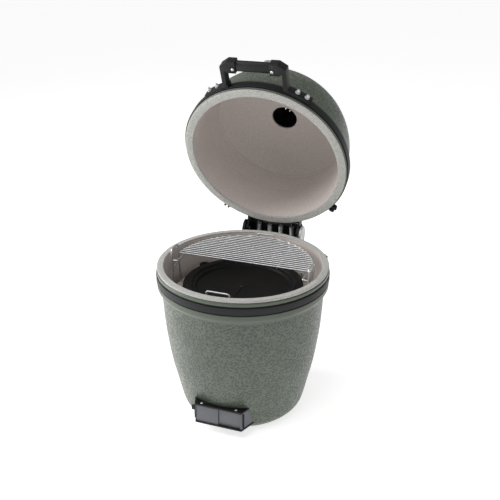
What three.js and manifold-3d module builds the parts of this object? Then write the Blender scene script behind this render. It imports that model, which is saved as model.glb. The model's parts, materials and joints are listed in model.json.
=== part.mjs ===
// A ceramic charcoal grill with a domed lid that hinges at the back, standing open.
// Units are millimetres. +Z is up, the front faces -Y and the hinge is at +Y.
// The origin is the centre of the round foot, on the ground.
// The lid is drawn closed, in a frame whose origin is the centre of its rim, and is then turned open.

import * as THREE from 'three';
import { mergeVertices } from 'three/addons/utils/BufferGeometryUtils.js';
import Module from 'manifold-3d';

const wasm = await Module();
wasm.setup();

// Driving dimensions
const RIM_HEIGHT = 505; // ground to the top of the base gasket
const RIM_RADIUS = 270;
const GASKET = 5; // thickness of each felt gasket
const BASE_MOUTH_RADIUS = 249.4;
const LID_MOUTH_RADIUS = 244;
const COLLAR_RADIUS = 272.8;
const SEAT_RADIUS = 270.6; // the groove that the bands sit in
const BAND_RADIUS = 276;
const FOOT_RADIUS = 158.6;
const FLOOR = 22; // thickness of the bottom
const GAP = 0.3; // play between neighbours

const OPEN_ANGLE = 67.55; // degrees from closed to open
const PIVOT_Y = 301.5;
const PIVOT_BELOW_RIM = 10.5;
const PIVOT_Z = RIM_HEIGHT - PIVOT_BELOW_RIM;

const VENT_HALF_WIDTH = 60;
const VENT_BOTTOM = 46;
const VENT_TOP = 94;
const DOOR_FRONT = 229; // how far the draft door stands out from the axis
const DOOR_HALF_WIDTH = 76;
const DOOR_SPLAY = 14 / 35; // sideways run of the door's sides per unit of depth
const DOOR_BOTTOM = 35;
const DOOR_TOP = 104;
const RAIL = 5; // height of the door's rails
const PANEL = 1.6; // thickness of the sliding panels
const TRACKS = [227.2, 224, 220.8]; // distance of each track's centre line from the axis
const GROOVE = 2.4;
const GROOVE_DEPTH = 2;

const WIRE = 3; // radius of the basket and rack wire
const RACK_LEDGE_Z = 494.6;
const GRID_Z = 503.6;
const GRID_ROD = 2.6;
const GRID_RADIUS = 219.5;
const GRID_PITCH = 14;
const GRID_RODS = 16;
const PAN_RADIUS = 192;
const PAN_FLANGE_Z = 427.4;
const FIRE_RING_TOP = 395;

const GRIP_Y = -332.5;
const GRIP_H = 28;
const CHEEK_X = 96; // inner face of the fixed hinge cheeks
const ARM_X = 88; // inner face of the lid's hinge arms
const SPRING_X = [-60, -20, 20, 60];
const SPRING_RADIUS = 8.5;
const SPRING_FOOT = [330, 404.5];
const LID_BAR = [PIVOT_Y - 7.8, 23]; // the lid's spring bar, in the closed lid's frame
const HOLE_RADIUS = 43.7; // chimney
const BIG = 900; // larger than the grill
const ROUND = 32; // sides of the large rings
const FINE = 64; // sides of the rings that other pieces are trimmed to

// The colour, metalness and roughness of each material
const GLAZE = [0x74806f, 0, 0.35];
const RAW_CERAMIC = [0xb5aaa3, 0, 0.85];
const FELT = [0xb9b9b4, 0, 0.95];
const BAND_PAINT = [0x3c3c40, 0.5, 0.5];
const BLACK = [0x121212, 0.2, 0.55];
const IRON = [0x1c1c1c, 0.4, 0.7];
const STEEL = [0xb4b4b4, 1, 0.3];
const DOOR_GREY = [0x6c6c70, 0.5, 0.5];
const PALE = [0xc9c9c6, 0.1, 0.6];

// Closed shapes become solids that can be joined and cut.
function solid(geometry) {
  const bare = geometry.clone();
  bare.deleteAttribute('normal');
  bare.deleteAttribute('uv');
  const merged = mergeVertices(bare, 1e-3);
  const index = merged.index.array;
  const triVerts = [];
  for (let i = 0; i < index.length; i += 3) {
    const [a, b, c] = [index[i], index[i + 1], index[i + 2]];
    if (a !== b && b !== c && c !== a) triVerts.push(a, b, c);
  }
  const mesh = new wasm.Mesh({
    numProp: 3,
    vertProperties: new Float32Array(merged.attributes.position.array),
    triVerts: new Uint32Array(triVerts),
  });
  return new wasm.Manifold(mesh);
}

function join(solids) {
  return solids.reduce((whole, piece) => whole.add(piece));
}

function geometryOf(shape) {
  const mesh = shape.getMesh();
  const geometry = new THREE.BufferGeometry();
  const positions = new THREE.BufferAttribute(new Float32Array(mesh.vertProperties), 3);
  geometry.setAttribute('position', positions);
  geometry.setIndex(new THREE.BufferAttribute(new Uint32Array(mesh.triVerts), 1));
  geometry.computeVertexNormals();
  return geometry;
}

// A solid turned about Z. The profile lists (radius, height) anticlockwise, and closes on itself.
function turned(profile, sides) {
  const points = [...profile, profile[0]].map(([r, z]) => new THREE.Vector2(r, z));
  const geometry = new THREE.LatheGeometry(points, sides);
  geometry.rotateX(Math.PI / 2);
  return solid(geometry);
}

function ring(inner, outer, bottom, top, sides) {
  return turned([[inner, bottom], [outer, bottom], [outer, top], [inner, top]], sides);
}

function drum(radius, bottom, top, sides) {
  return turned([[0, bottom], [radius, bottom], [radius, top], [0, top]], sides);
}

function block(x0, x1, y0, y1, z0, z1) {
  const geometry = new THREE.BoxGeometry(x1 - x0, y1 - y0, z1 - z0);
  geometry.translate((x0 + x1) / 2, (y0 + y1) / 2, (z0 + z1) / 2);
  return solid(geometry);
}

function shapeOf(outline) {
  return new THREE.Shape(outline.map(([a, b]) => new THREE.Vector2(a, b)));
}

// An (x, y) outline raised from z0 to z1.
function slab(outline, z0, z1) {
  const geometry = new THREE.ExtrudeGeometry(shapeOf(outline), { depth: z1 - z0, bevelEnabled: false });
  geometry.translate(0, 0, z0);
  return solid(geometry);
}

// A (y, z) outline drawn out from x0 to x1.
function cheek(outline, x0, x1) {
  const geometry = new THREE.ExtrudeGeometry(shapeOf(outline), { depth: x1 - x0, bevelEnabled: false });
  geometry.applyMatrix4(new THREE.Matrix4().set(0, 0, 1, x0, 1, 0, 0, 0, 0, 1, 0, 0, 0, 0, 0, 1));
  return solid(geometry);
}

// A round bar between two points, with its first and last radius.
function rod(from, to, radius, sides = 8, endRadius = radius) {
  const start = new THREE.Vector3(...from);
  const end = new THREE.Vector3(...to);
  const along = end.clone().sub(start);
  const geometry = new THREE.CylinderGeometry(endRadius, radius, along.length(), sides);
  const turn = new THREE.Quaternion().setFromUnitVectors(
    new THREE.Vector3(0, 1, 0), along.clone().normalize());
  geometry.applyQuaternion(turn);
  const middle = start.add(end).multiplyScalar(0.5);
  geometry.translate(middle.x, middle.y, middle.z);
  return solid(geometry);
}

// A path that turns at each of its points.
class BentPath extends THREE.Curve {
  constructor(points) {
    super();
    this.corners = points.map((point) => new THREE.Vector3(...point));
  }

  getPointAt(share) {
    const place = share * (this.corners.length - 1);
    const i = Math.min(Math.floor(place + 1e-9), this.corners.length - 2);
    return this.corners[i].clone().lerp(this.corners[i + 1], place - i);
  }

  getTangentAt(share) {
    const i = Math.round(share * (this.corners.length - 1));
    const before = this.corners[Math.max(i - 1, 0)];
    const after = this.corners[Math.min(i + 1, this.corners.length - 1)];
    const here = this.corners[i];
    const into = here.clone().sub(before).normalize();
    const outOf = after.clone().sub(here).normalize();
    return into.add(outOf).normalize();
  }
}

// The corners of a path, each cut short so that the wire turns in two steps.
function eased(points, cut) {
  const path = [points[0]];
  for (let i = 1; i < points.length - 1; i += 1) {
    const corner = new THREE.Vector3(...points[i]);
    for (const next of [points[i - 1], points[i + 1]]) {
      const way = new THREE.Vector3(...next).sub(corner).setLength(cut);
      path.push(corner.clone().add(way).toArray());
    }
  }
  path.push(points[points.length - 1]);
  return path;
}

// A bent wire of six sides.
function wire(points, radius) {
  const options = { steps: points.length - 1, extrudePath: new BentPath(points), bevelEnabled: false };
  return solid(new THREE.ExtrudeGeometry(shapeOf(disc(radius, 6, 0, 0)), options));
}

// A wire bent to part of a circle about Z, between two angles in degrees from +X.
function arcWire(radius, z, from, to, wireRadius, steps) {
  const points = [];
  for (let i = 0; i <= steps; i += 1) {
    const angle = THREE.MathUtils.degToRad(from + ((to - from) * i) / steps);
    points.push([radius * Math.cos(angle), radius * Math.sin(angle), z]);
  }
  return wire(points, wireRadius);
}

function disc(radius, sides, y, z) {
  const outline = [];
  for (let i = 0; i < sides; i += 1) {
    const angle = (2 * Math.PI * i) / sides;
    outline.push([y + radius * Math.cos(angle), z + radius * Math.sin(angle)]);
  }
  return outline;
}

// A point on a circle about Z, at an angle in degrees towards +X from the front or the back.
function fromFront(radius, angle, z) {
  const turn = THREE.MathUtils.degToRad(angle);
  return [radius * Math.sin(turn), -radius * Math.cos(turn), z];
}

function fromBack(radius, angle, z) {
  const [x, y] = fromFront(radius, angle, z);
  return [x, -y, z];
}

function mirrored(point) {
  return [-point[0], point[1], point[2]];
}

const grill = new THREE.Group();
const hinged = new THREE.Group();
hinged.position.set(0, PIVOT_Y, PIVOT_Z);
hinged.rotation.x = -THREE.MathUtils.degToRad(OPEN_ANGLE);
const lid = new THREE.Group();
lid.position.set(0, -PIVOT_Y, PIVOT_BELOW_RIM);
hinged.add(lid);
grill.add(hinged);

function put(group, name, shape, [color, metalness, roughness]) {
  const material = new THREE.MeshStandardMaterial({ color, metalness, roughness });
  const mesh = new THREE.Mesh(geometryOf(shape), material);
  mesh.name = name;
  group.add(mesh);
}

// Base shell: a thick glazed pot with a collar, and a vent at the bottom of the front.
const SHELL_OUTER = [
  [FOOT_RADIUS, 0], [178, 8], [193, 24], [203, 48], [219.5, 120], [235, 190], [249, 290], [257.5, 424],
];
const COLLAR = [
  [265, 427], [COLLAR_RADIUS, 443], [COLLAR_RADIUS, 454], [SEAT_RADIUS, 456],
  [SEAT_RADIUS, 483], [COLLAR_RADIUS, 485], [COLLAR_RADIUS, 496], [RIM_RADIUS, RIM_HEIGHT - GASKET],
];
const SHELL_INNER = [
  [BASE_MOUTH_RADIUS, RIM_HEIGHT - GASKET], [243, 445], [234, 340], [221, 225], [198, 120], [182, 56],
  [165, 32], [146, FLOOR],
];
const shell = turned([[0, 0], ...SHELL_OUTER, ...COLLAR, ...SHELL_INNER, [0, FLOOR]], ROUND);
const ventHole = block(-VENT_HALF_WIDTH, VENT_HALF_WIDTH, -BIG, -100, VENT_BOTTOM, VENT_TOP);
put(grill, 'base_shell', shell.subtract(ventHole), GLAZE);

// The room that the shell takes up, with play all round, for cutting what lies against it.
const shellRoom = turned([
  [0, -1], ...SHELL_OUTER.map(([r, z]) => [r + GAP * 2, z - GAP]), [COLLAR_RADIUS, 440], [0, 440],
], ROUND);

const gasket = ring(BASE_MOUTH_RADIUS, RIM_RADIUS, RIM_HEIGHT - GASKET + GAP, RIM_HEIGHT - GAP, ROUND);
put(grill, 'base_gasket', gasket, FELT);

// Each band is a strap that two bolts at the back pull tight through a pair of lugs.
const LUG = 7;
const LUG_SPACE = 7;
const LUG_REACH = 296;
const BOLT = 3;

const CLAMP_ANGLES = { left: -36, right: 48 }; // degrees from the back, towards +X

// The frame of a clamp: along the band, outwards and up, as a matrix.
function clampFrame(angle, z) {
  const frame = new THREE.Matrix4().makeRotationZ(-THREE.MathUtils.degToRad(angle));
  return frame.setPosition(0, 0, z);
}

function placed(shape, frame) {
  return solid(geometryOf(shape).applyMatrix4(frame));
}

function band(bottom, top) {
  const middle = (bottom + top) / 2;
  const strap = ring(SEAT_RADIUS + GAP, BAND_RADIUS, bottom, top, ROUND);
  let whole = strap;
  for (const angle of Object.values(CLAMP_ANGLES)) {
    const frame = clampFrame(angle, middle);
    for (const start of [-LUG_SPACE / 2 - LUG, LUG_SPACE / 2]) {
      const lug = block(start, start + LUG, SEAT_RADIUS + 1, LUG_REACH, -9, 9);
      const hole = rod([start - 1, LUG_REACH - 9, 0], [start + LUG + 1, LUG_REACH - 9, 0], BOLT + GAP, 12);
      whole = whole.add(placed(lug, frame)).subtract(placed(hole, frame));
    }
  }
  return whole;
}

function clampBolt(name, z) {
  const reach = LUG_SPACE / 2 + LUG + GAP;
  const y = LUG_REACH - 9;
  const bolt = join([
    rod([-reach - 5, y, 0], [-reach, y, 0], 6, 6),
    rod([-reach - 1, y, 0], [reach + 8, y, 0], BOLT, 12),
    rod([reach, y, 0], [reach + 5, y, 0], 6, 6),
  ]);
  return placed(bolt, clampFrame(CLAMP_ANGLES[name], z));
}

const SIDES = [['left', -1], ['right', 1]];
const BASE_BAND = [460, 481];
put(grill, 'base_band', band(...BASE_BAND), BAND_PAINT);
for (const [name] of SIDES) {
  const bolt = clampBolt(name, (BASE_BAND[0] + BASE_BAND[1]) / 2);
  put(grill, `base_clamp_bolt_${name}`, bolt, BLACK);
}

// Fire box: the inner bowl that holds the charcoal, on a foot with an ash opening.
const GRATE_Z = 106;
const fireFoot = turned([
  [0, FLOOR + GAP], [118, FLOOR + GAP], [144, 56], [162.6, GRATE_Z], [120, GRATE_Z], [115, 88],
  [104, 42], [0, 42],
], 24);
const ashMouth = block(-48, 48, -BIG, -60, 50, 90);
put(grill, 'fire_box_foot', fireFoot.subtract(ashMouth), RAW_CERAMIC);

const fireBowl = turned([
  [147, GRATE_Z + GAP], [162.8, GRATE_Z + GAP], [186, 185], [204, 262], [184, 262], [168, 190], [151, 128],
], 24);
const airHoles = [];
for (let i = 0; i < 8; i += 1) {
  const angle = 45 * i + 22.5;
  airHoles.push(rod(fromFront(140, angle, 190), fromFront(230, angle, 190), 9, 6));
}
put(grill, 'fire_box', fireBowl.subtract(join(airHoles)), RAW_CERAMIC);

// Charcoal grate: a cast disc with rows of slots.
const grateSlots = [];
for (let row = -5; row <= 5; row += 1) {
  const y = row * 22;
  const half = Math.sqrt(130 ** 2 - y ** 2) - 6;
  grateSlots.push(block(-half, -4, y - 5.5, y + 5.5, 100, 120));
  grateSlots.push(block(4, half, y - 5.5, y + 5.5, 100, 120));
}
const grateDisc = turned([
  [0, GRATE_Z + GAP], [145, GRATE_Z + GAP], [145, GRATE_Z + 7], [140, GRATE_Z + 9], [0, GRATE_Z + 9],
], 32);
put(grill, 'charcoal_grate', grateDisc.subtract(join(grateSlots)), IRON);

// Fire ring: the notched ring on top of the fire box.
const fireRing = turned([
  [198, 262 + GAP], [216, 262 + GAP], [226, 330], [229, FIRE_RING_TOP], [205, FIRE_RING_TOP], [201, 330],
], 32);
const notches = [];
for (const angle of [90, 210, 330]) {
  const [x, y] = fromFront(217, angle, 0);
  notches.push(block(x - 22, x + 22, y - 22, y + 22, FIRE_RING_TOP - 14, FIRE_RING_TOP + 5));
}
put(grill, 'fire_ring', fireRing.subtract(join(notches)), RAW_CERAMIC);

// Draft door: a splayed housing of two rails and two sides, with three sliding plates in it.
function doorSideX(y) {
  return DOOR_HALF_WIDTH + (DOOR_FRONT + y) * DOOR_SPLAY;
}

const DOOR_BACK = -165;
const railOutline = [
  [-doorSideX(-DOOR_FRONT) - 1.5, -DOOR_FRONT - 1.5], [doorSideX(-DOOR_FRONT) + 1.5, -DOOR_FRONT - 1.5],
  [doorSideX(DOOR_BACK) + 1.5, DOOR_BACK], [-doorSideX(DOOR_BACK) - 1.5, DOOR_BACK],
];
const bottomRail = slab(railOutline, DOOR_BOTTOM, DOOR_BOTTOM + RAIL).subtract(shellRoom);
const topRail = slab(railOutline, DOOR_TOP - RAIL, DOOR_TOP).subtract(shellRoom);
const grooves = [];
for (const track of TRACKS.slice(0, 2)) {
  const [front, back] = [-track - GROOVE / 2, -track + GROOVE / 2];
  const low = DOOR_BOTTOM + RAIL - GROOVE_DEPTH;
  const high = DOOR_TOP - RAIL + GROOVE_DEPTH;
  grooves.push(block(-DOOR_HALF_WIDTH, DOOR_HALF_WIDTH, front, back, low, high));
}
const doorGrooves = join(grooves);
const DOOR_SCREW_X = 57;
const DOOR_SCREW_Y = -221;
const screwHoles = join([-1, 1].map((side) => rod(
  [side * DOOR_SCREW_X, DOOR_SCREW_Y, DOOR_TOP - RAIL - 1],
  [side * DOOR_SCREW_X, DOOR_SCREW_Y, DOOR_TOP + 1], 2 + GAP, 12)));
put(grill, 'door_bottom_rail', bottomRail.subtract(doorGrooves), BLACK);
const ear = cheek([
  [-214, DOOR_TOP - 2], [-207, DOOR_TOP - 2], [-207, DOOR_TOP + 8], [-207.5, DOOR_TOP + 22],
  [-210, DOOR_TOP + 8],
], -DOOR_HALF_WIDTH - 4, -DOOR_HALF_WIDTH - 2);
put(grill, 'door_top_rail', topRail.subtract(doorGrooves).subtract(screwHoles).add(ear), BLACK);
for (const [name, side] of SIDES) {
  const x = side * DOOR_SCREW_X;
  const screw = rod([x, DOOR_SCREW_Y, DOOR_TOP - 4], [x, DOOR_SCREW_Y, DOOR_TOP + 2], 2, 12)
    .add(rod([x, DOOR_SCREW_Y, DOOR_TOP + GAP], [x, DOOR_SCREW_Y, DOOR_TOP + 2.8], 4.4, 12, 3));
  put(grill, `door_screw_${name}`, screw, PALE);
}

const SCREEN_BOTTOM = 44;
const SCREEN_TOP = 95;
const screenSlot = block(-BIG, BIG, -TRACKS[2] - 1.1, -TRACKS[2] + 1.1, SCREEN_BOTTOM - 1, SCREEN_TOP + 1);
for (const [name, side] of SIDES) {
  const outline = [
    [side * doorSideX(-DOOR_FRONT), -DOOR_FRONT], [side * doorSideX(DOOR_BACK), DOOR_BACK],
    [side * (doorSideX(DOOR_BACK) - 1.8), DOOR_BACK], [side * (doorSideX(-DOOR_FRONT) - 1.8), -DOOR_FRONT],
  ];
  const turnedRight = side > 0 ? outline : outline.reverse();
  const wall = slab(turnedRight, DOOR_BOTTOM + RAIL + GAP, DOOR_TOP - RAIL - GAP);
  put(grill, `door_side_${name}`, wall.subtract(shellRoom).subtract(screenSlot), DOOR_GREY);
}

function doorPanel(x0, x1, track) {
  const low = DOOR_BOTTOM + RAIL - GROOVE_DEPTH + 0.5;
  const high = DOOR_TOP - RAIL + GROOVE_DEPTH - 0.5;
  return block(x0, x1, -track - PANEL / 2, -track + PANEL / 2, low, high);
}

const leftPanel = doorPanel(-73.5, -0.4, TRACKS[0]);
const rightPanel = doorPanel(-6, 73.5, TRACKS[1]);
put(grill, 'door_panel_left', leftPanel, DOOR_GREY);
put(grill, 'door_panel_right', rightPanel, DOOR_GREY);

// Ember screen: a slotted plate that pulls out to the left by its tab.
const screenPlate = block(-84, 84, -TRACKS[2] - 0.6, -TRACKS[2] + 0.6, SCREEN_BOTTOM, SCREEN_TOP);
const screenTab = block(-93, -83, -TRACKS[2] - 0.6, -TRACKS[2] + 0.6, 74, 92);
const screenSlits = [];
for (let i = -9; i <= 9; i += 1) screenSlits.push(block(i * 6 - 1.5, i * 6 + 1.5, -BIG, 0, 50, 89));
put(grill, 'ember_screen', screenPlate.add(screenTab).subtract(join(screenSlits)), IRON);

// Hinge, fixed half: a bracket round the back of the band, with two cheeks that reach the pivots
// and run down to the lower spring bar.
const wrap = ring(BAND_RADIUS + GAP, BAND_RADIUS + 7, 430, 486, FINE)
  .intersect(block(-CHEEK_X - 6, CHEEK_X + 6, 0, BIG, 400, 500));
const PIVOT_PIN = 5;
const SPRING_BAR = 5;
const CAP_RIMS = { left: 1, right: 5.8 }; // depth of each hinge disc's rim
let bracket = wrap;
for (const side of [-1, 1]) {
  const inner = side * CHEEK_X;
  const outer = side * (CHEEK_X + 6);
  const [x0, x1] = [Math.min(inner, outer), Math.max(inner, outer)];
  const plate = cheek([[256, 432], [300, 396], [335, 390], [346, 402], [346, 500], [333, 512],
    [306, 524], [288, 520], [278, 502], [256, 486]], x0, x1);
  const room = drum(BAND_RADIUS + GAP, 380, 530, FINE);
  const hole = cheek(disc(PIVOT_PIN + GAP, 16, PIVOT_Y, PIVOT_Z), x0 - 1, x1 + 1);
  const seat = cheek(disc(SPRING_BAR + GAP, 16, ...SPRING_FOOT), x0 - 1, x1 + 1);
  bracket = bracket.add(plate.subtract(room)).subtract(hole).subtract(seat);
}
put(grill, 'hinge_bracket', bracket, BLACK);
const coverPlate = block(-CHEEK_X + GAP, CHEEK_X - GAP, 341, 344, 400, 516);
put(grill, 'hinge_cover', coverPlate, BLACK);
const lowerBar = cheek(disc(SPRING_BAR, 16, ...SPRING_FOOT), -CHEEK_X - 5, CHEEK_X + 5);
put(grill, 'lower_spring_bar', lowerBar, BLACK);
for (const [name, side] of SIDES) {
  const [near, far] = [side * (ARM_X - 2), side * (CHEEK_X + 6 + GAP)];
  const pin = cheek(disc(PIVOT_PIN, 16, PIVOT_Y, PIVOT_Z), Math.min(near, far), Math.max(near, far));
  put(grill, `hinge_pin_${name}`, pin, STEEL);
  const capFace = side * (CHEEK_X + 6 + 2 * GAP);
  const capRim = capFace + CAP_RIMS[name] * side;
  const cap = rod([capFace, PIVOT_Y, PIVOT_Z], [capRim, PIVOT_Y, PIVOT_Z], 30, 24)
    .add(rod([capRim, PIVOT_Y, PIVOT_Z], [capRim + 1.6 * side, PIVOT_Y, PIVOT_Z], 30, 24, 26));
  put(grill, `hinge_cap_${name}`, cap, PALE);
}

// The place of the lid's spring bar when the lid stands open.
const openTurn = THREE.MathUtils.degToRad(-OPEN_ANGLE);
const barOut = LID_BAR[0] - PIVOT_Y;
const barUp = LID_BAR[1] + PIVOT_BELOW_RIM;
const openBarY = PIVOT_Y + barOut * Math.cos(openTurn) - barUp * Math.sin(openTurn);
const openBarZ = PIVOT_Z + barOut * Math.sin(openTurn) + barUp * Math.cos(openTurn);

// Springs: each one is the sleeve of its coil here.
SPRING_X.forEach((x, i) => {
  const foot = [x, SPRING_FOOT[0], SPRING_FOOT[1] + SPRING_BAR + GAP];
  const head = [x, openBarY, openBarZ - SPRING_BAR - GAP];
  put(grill, `spring_${i + 1}`, rod(foot, head, SPRING_RADIUS, 12), STEEL);
});

// Lid shell: a tall dome, open at the top into a short neck.
const dome = turned([
  [RIM_RADIUS, GASKET], [COLLAR_RADIUS, 7], [COLLAR_RADIUS, 10], [SEAT_RADIUS, 11.5], [SEAT_RADIUS, 40],
  [COLLAR_RADIUS, 42], [COLLAR_RADIUS, 50], [265, 61], [251, 137.5], [238, 173], [218, 209],
  [190, 240], [150, 264], [105, 279], [66, 286], [60, 292], [60, 306], [HOLE_RADIUS, 306],
  [HOLE_RADIUS, 238], [100, 234], [160, 220], [216.5, 186], [232, 130], [240, 60],
  [LID_MOUTH_RADIUS, GASKET],
], ROUND);
const STEM_TIP = [0, -136.5, 137.5];
const STEM_ROOT = [0, -233, 184];
const stemWay = new THREE.Vector3(...STEM_ROOT).sub(new THREE.Vector3(...STEM_TIP)).normalize();

function alongStem(distance) {
  const point = new THREE.Vector3(...STEM_ROOT).addScaledVector(stemWay, distance);
  return [point.x, point.y, point.z];
}

const stemHole = rod(alongStem(-60), alongStem(30), 3.5, 12);
put(lid, 'lid_shell', dome.subtract(stemHole), GLAZE);
put(lid, 'lid_gasket', ring(LID_MOUTH_RADIUS, RIM_RADIUS, GAP, GASKET - GAP, ROUND), FELT);
put(lid, 'thermometer_stem', rod(STEM_TIP, alongStem(5), 2.2, 10), IRON);
const dial = rod(alongStem(6), alongStem(18), 27, 32).add(rod(alongStem(18), alongStem(20), 27, 32, 25));
put(lid, 'thermometer_dial', dial, STEEL);

// Lid band and the moving half of the hinge
const LID_BAND = [12, 38];
put(lid, 'lid_band', band(...LID_BAND), BAND_PAINT);
for (const [name] of SIDES) {
  put(lid, `lid_clamp_bolt_${name}`, clampBolt(name, (LID_BAND[0] + LID_BAND[1]) / 2), BLACK);
}
const lidWrap = ring(BAND_RADIUS + GAP, BAND_RADIUS + 7, 8, 40, FINE)
  .intersect(block(-ARM_X - 6, ARM_X + 6, 0, BIG, 0, 60));
const lidPivot = [PIVOT_Y, -PIVOT_BELOW_RIM];
let lidBracket = lidWrap;
for (const side of [-1, 1]) {
  const [x0, x1] = side > 0 ? [ARM_X, ARM_X + 6] : [-ARM_X - 6, -ARM_X];
  const plate = cheek([[262, 10], [280, -2], [286, -24], [301, -32], [317, -27], [324, -10], [312, 10],
    [300, 30], [288, 36], [262, 36]], x0, x1);
  const room = drum(BAND_RADIUS + GAP, -60, 80, FINE);
  const hole = cheek(disc(PIVOT_PIN + GAP, 16, ...lidPivot), x0 - 1, x1 + 1);
  const seat = cheek(disc(SPRING_BAR + GAP, 16, ...LID_BAR), x0 - 1, x1 + 1);
  lidBracket = lidBracket.add(plate.subtract(room)).subtract(hole).subtract(seat);
}
put(lid, 'lid_hinge_bracket', lidBracket, BLACK);
put(lid, 'upper_spring_bar', cheek(disc(SPRING_BAR, 16, ...LID_BAR), -ARM_X - 5, ARM_X + 5), BLACK);

// Handle: two bolted brackets that carry a grip.
const BRACKET_H = [14, 44];
const COLLAR_X = 53.5;
const ACORN_ANGLES = [26.9, 33.3];
for (const [name, side] of SIDES) {
  const reach = [
    [COLLAR_X, -351], [80, -351], [103.5, -335], [103, -255], [90, -255], [90, -319], [80, -314],
    [COLLAR_X, -314],
  ].map(([x, y]) => [side * x, y]);
  const arm = slab(side > 0 ? reach : reach.reverse(), ...BRACKET_H);
  const strap = ring(BAND_RADIUS + GAP, BAND_RADIUS + 8, ...BRACKET_H, FINE);
  const start = fromFront(400, 18 * side, 0);
  const end = fromFront(400, 37 * side, 0);
  const wedge = [[0, 0], [start[0], start[1]], [end[0], end[1]]];
  const sector = slab(side > 0 ? wedge : wedge.reverse(), 0, 60);
  const room = drum(BAND_RADIUS + GAP, 0, 60, FINE);
  let whole = arm.subtract(room).add(strap.intersect(sector));
  ACORN_ANGLES.forEach((angle, i) => {
    const h = (BRACKET_H[0] + BRACKET_H[1]) / 2;
    const bore = rod(fromFront(270, angle * side, h), fromFront(300, angle * side, h), 3.2, 12);
    whole = whole.subtract(bore);
    const radius = BAND_RADIUS + 8 + GAP;
    const bolt = join([
      rod(fromFront(BAND_RADIUS + 2, angle * side, h), fromFront(radius + 1, angle * side, h), 2.8, 12),
      rod(fromFront(radius, angle * side, h), fromFront(radius + 6, angle * side, h), 7, 10),
      rod(fromFront(radius + 5, angle * side, h), fromFront(radius + 11, angle * side, h), 6.4, 10, 3),
    ]);
    put(lid, `acorn_bolt_${name}_${i + 1}`, bolt, STEEL);
  });
  const screwX = side * (COLLAR_X + 8);
  const screwY = -328;
  whole = whole.subtract(rod([screwX, screwY, 10], [screwX, screwY, 30], 2.5, 12));
  put(lid, `handle_bracket_${name}`, whole, BLACK);
  const screw = rod([screwX, screwY, 9], [screwX, screwY, BRACKET_H[0] - GAP], 4.5, 12)
    .add(rod([screwX, screwY, 10], [screwX, screwY, 28], 2, 12));
  put(lid, `handle_screw_${name}`, screw, PALE);
}
const gripSection = [
  [-17, -5], [-9, -12], [9, -12], [16, -5], [16, 5], [9, 12], [-9, 12], [-17, 5],
].map(([y, z]) => [GRIP_Y + y, GRIP_H + z]);
put(lid, 'handle_grip', cheek(gripSection, -COLLAR_X + GAP, COLLAR_X - GAP), BLACK);

// Chimney top: a cast ring on the neck, a cap that swings aside, and a dial with petal vents.
const CAP_H = 314;
const ventRing = turned([
  [HOLE_RADIUS, 306 + GAP], [60.6, 306 + GAP], [60.6, 294], [65, 292], [69, 296],
  [69, CAP_H - 4], [62, CAP_H], [HOLE_RADIUS, CAP_H],
], 24).add(rod([0, 66, 300], [0, 66, CAP_H], 12, 12));
const neckRoom = turned([[0, 280], [60 + 2 * GAP, 280], [60 + 2 * GAP, 306 + GAP], [0, 306 + GAP]], 24);
const SWING = [0, 66];
const swingPin = rod([...SWING, 302], [...SWING, CAP_H + 14], 3.5, 12)
  .add(rod([...SWING, CAP_H + 9], [...SWING, CAP_H + 14], 6, 12));
const pinRoom = rod([...SWING, 301], [...SWING, CAP_H + 8], 3.5 + GAP, 12);
put(lid, 'vent_ring', ventRing.subtract(neckRoom).subtract(pinRoom), IRON);
put(lid, 'vent_pin', swingPin, STEEL);
put(lid, 'chimney_liner', ring(HOLE_RADIUS - 2.4, HOLE_RADIUS - 0.6, 242, CAP_H, ROUND), IRON);

const capDisc = turned([
  [0, CAP_H + GAP], [66, CAP_H + GAP], [67, CAP_H + 3], [60, CAP_H + 8], [0, CAP_H + 8],
], 24).add(rod([...SWING, CAP_H + GAP], [...SWING, CAP_H + 8], 12, 12));
const petals = [];
for (let i = 0; i < 6; i += 1) {
  const [x, y] = fromFront(32, 60 * i, 0);
  petals.push(rod([x, y, 300], [x, y, 360], 10));
}
const hubRoom = rod([0, 0, 300], [0, 0, 400], 4.4, 12);
const capShape = capDisc.subtract(join(petals)).subtract(hubRoom).subtract(pinRoom);
put(lid, 'vent_cap', capShape, IRON);

const DIAL_TURN = 30; // the petals are shut when the dial is half a petal round
const dialDisc = turned([
  [0, CAP_H + 8 + GAP], [50, CAP_H + 8 + GAP], [50, CAP_H + 12], [12, CAP_H + 15], [0, CAP_H + 15],
], 24).subtract(join(petals));
const dialFrame = new THREE.Matrix4().makeRotationZ(THREE.MathUtils.degToRad(DIAL_TURN));
const dialKnob = rod([0, 0, CAP_H + 14], [0, 0, CAP_H + 34], 9, 12, 12)
  .add(rod([0, 0, CAP_H + 2], [0, 0, CAP_H + 15], 4, 12));
put(lid, 'vent_dial', placed(dialDisc, dialFrame).add(dialKnob), IRON);

// Wire basket: a ring on four legs that stand on the fire ring, with a handle front and back.
const BASKET_RADIUS = 186;
const basketZ = PAN_FLANGE_Z - GAP - WIRE;
const legFoot = FIRE_RING_TOP + GAP + WIRE;
const basketRing = turned(disc(WIRE, 5, BASKET_RADIUS, basketZ), 32);
const legs = [45, 135, 225, 315].map((angle) => wire(eased([
  fromFront(BASKET_RADIUS, angle, basketZ), fromFront(214, angle, basketZ),
  fromFront(214, angle, legFoot),
], 6), WIRE));
put(grill, 'basket_frame', join([basketRing, ...legs]), STEEL);

function basketHandle(halfWidth, rootY, y, top) {
  const bend = y - Math.sign(y) * 12;
  const right = [
    [halfWidth, rootY, basketZ], [halfWidth, bend, basketZ], [halfWidth, y, basketZ + 12],
    [halfWidth, y, top],
  ];
  return wire(eased([...right, ...right.map(mirrored).reverse()], 5), WIRE);
}

put(grill, 'basket_handle_front', basketHandle(36, -BASKET_RADIUS - 1, -213, 497), STEEL);
put(grill, 'basket_handle_back', basketHandle(29, BASKET_RADIUS + 2, 227.5, 510), STEEL);

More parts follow.
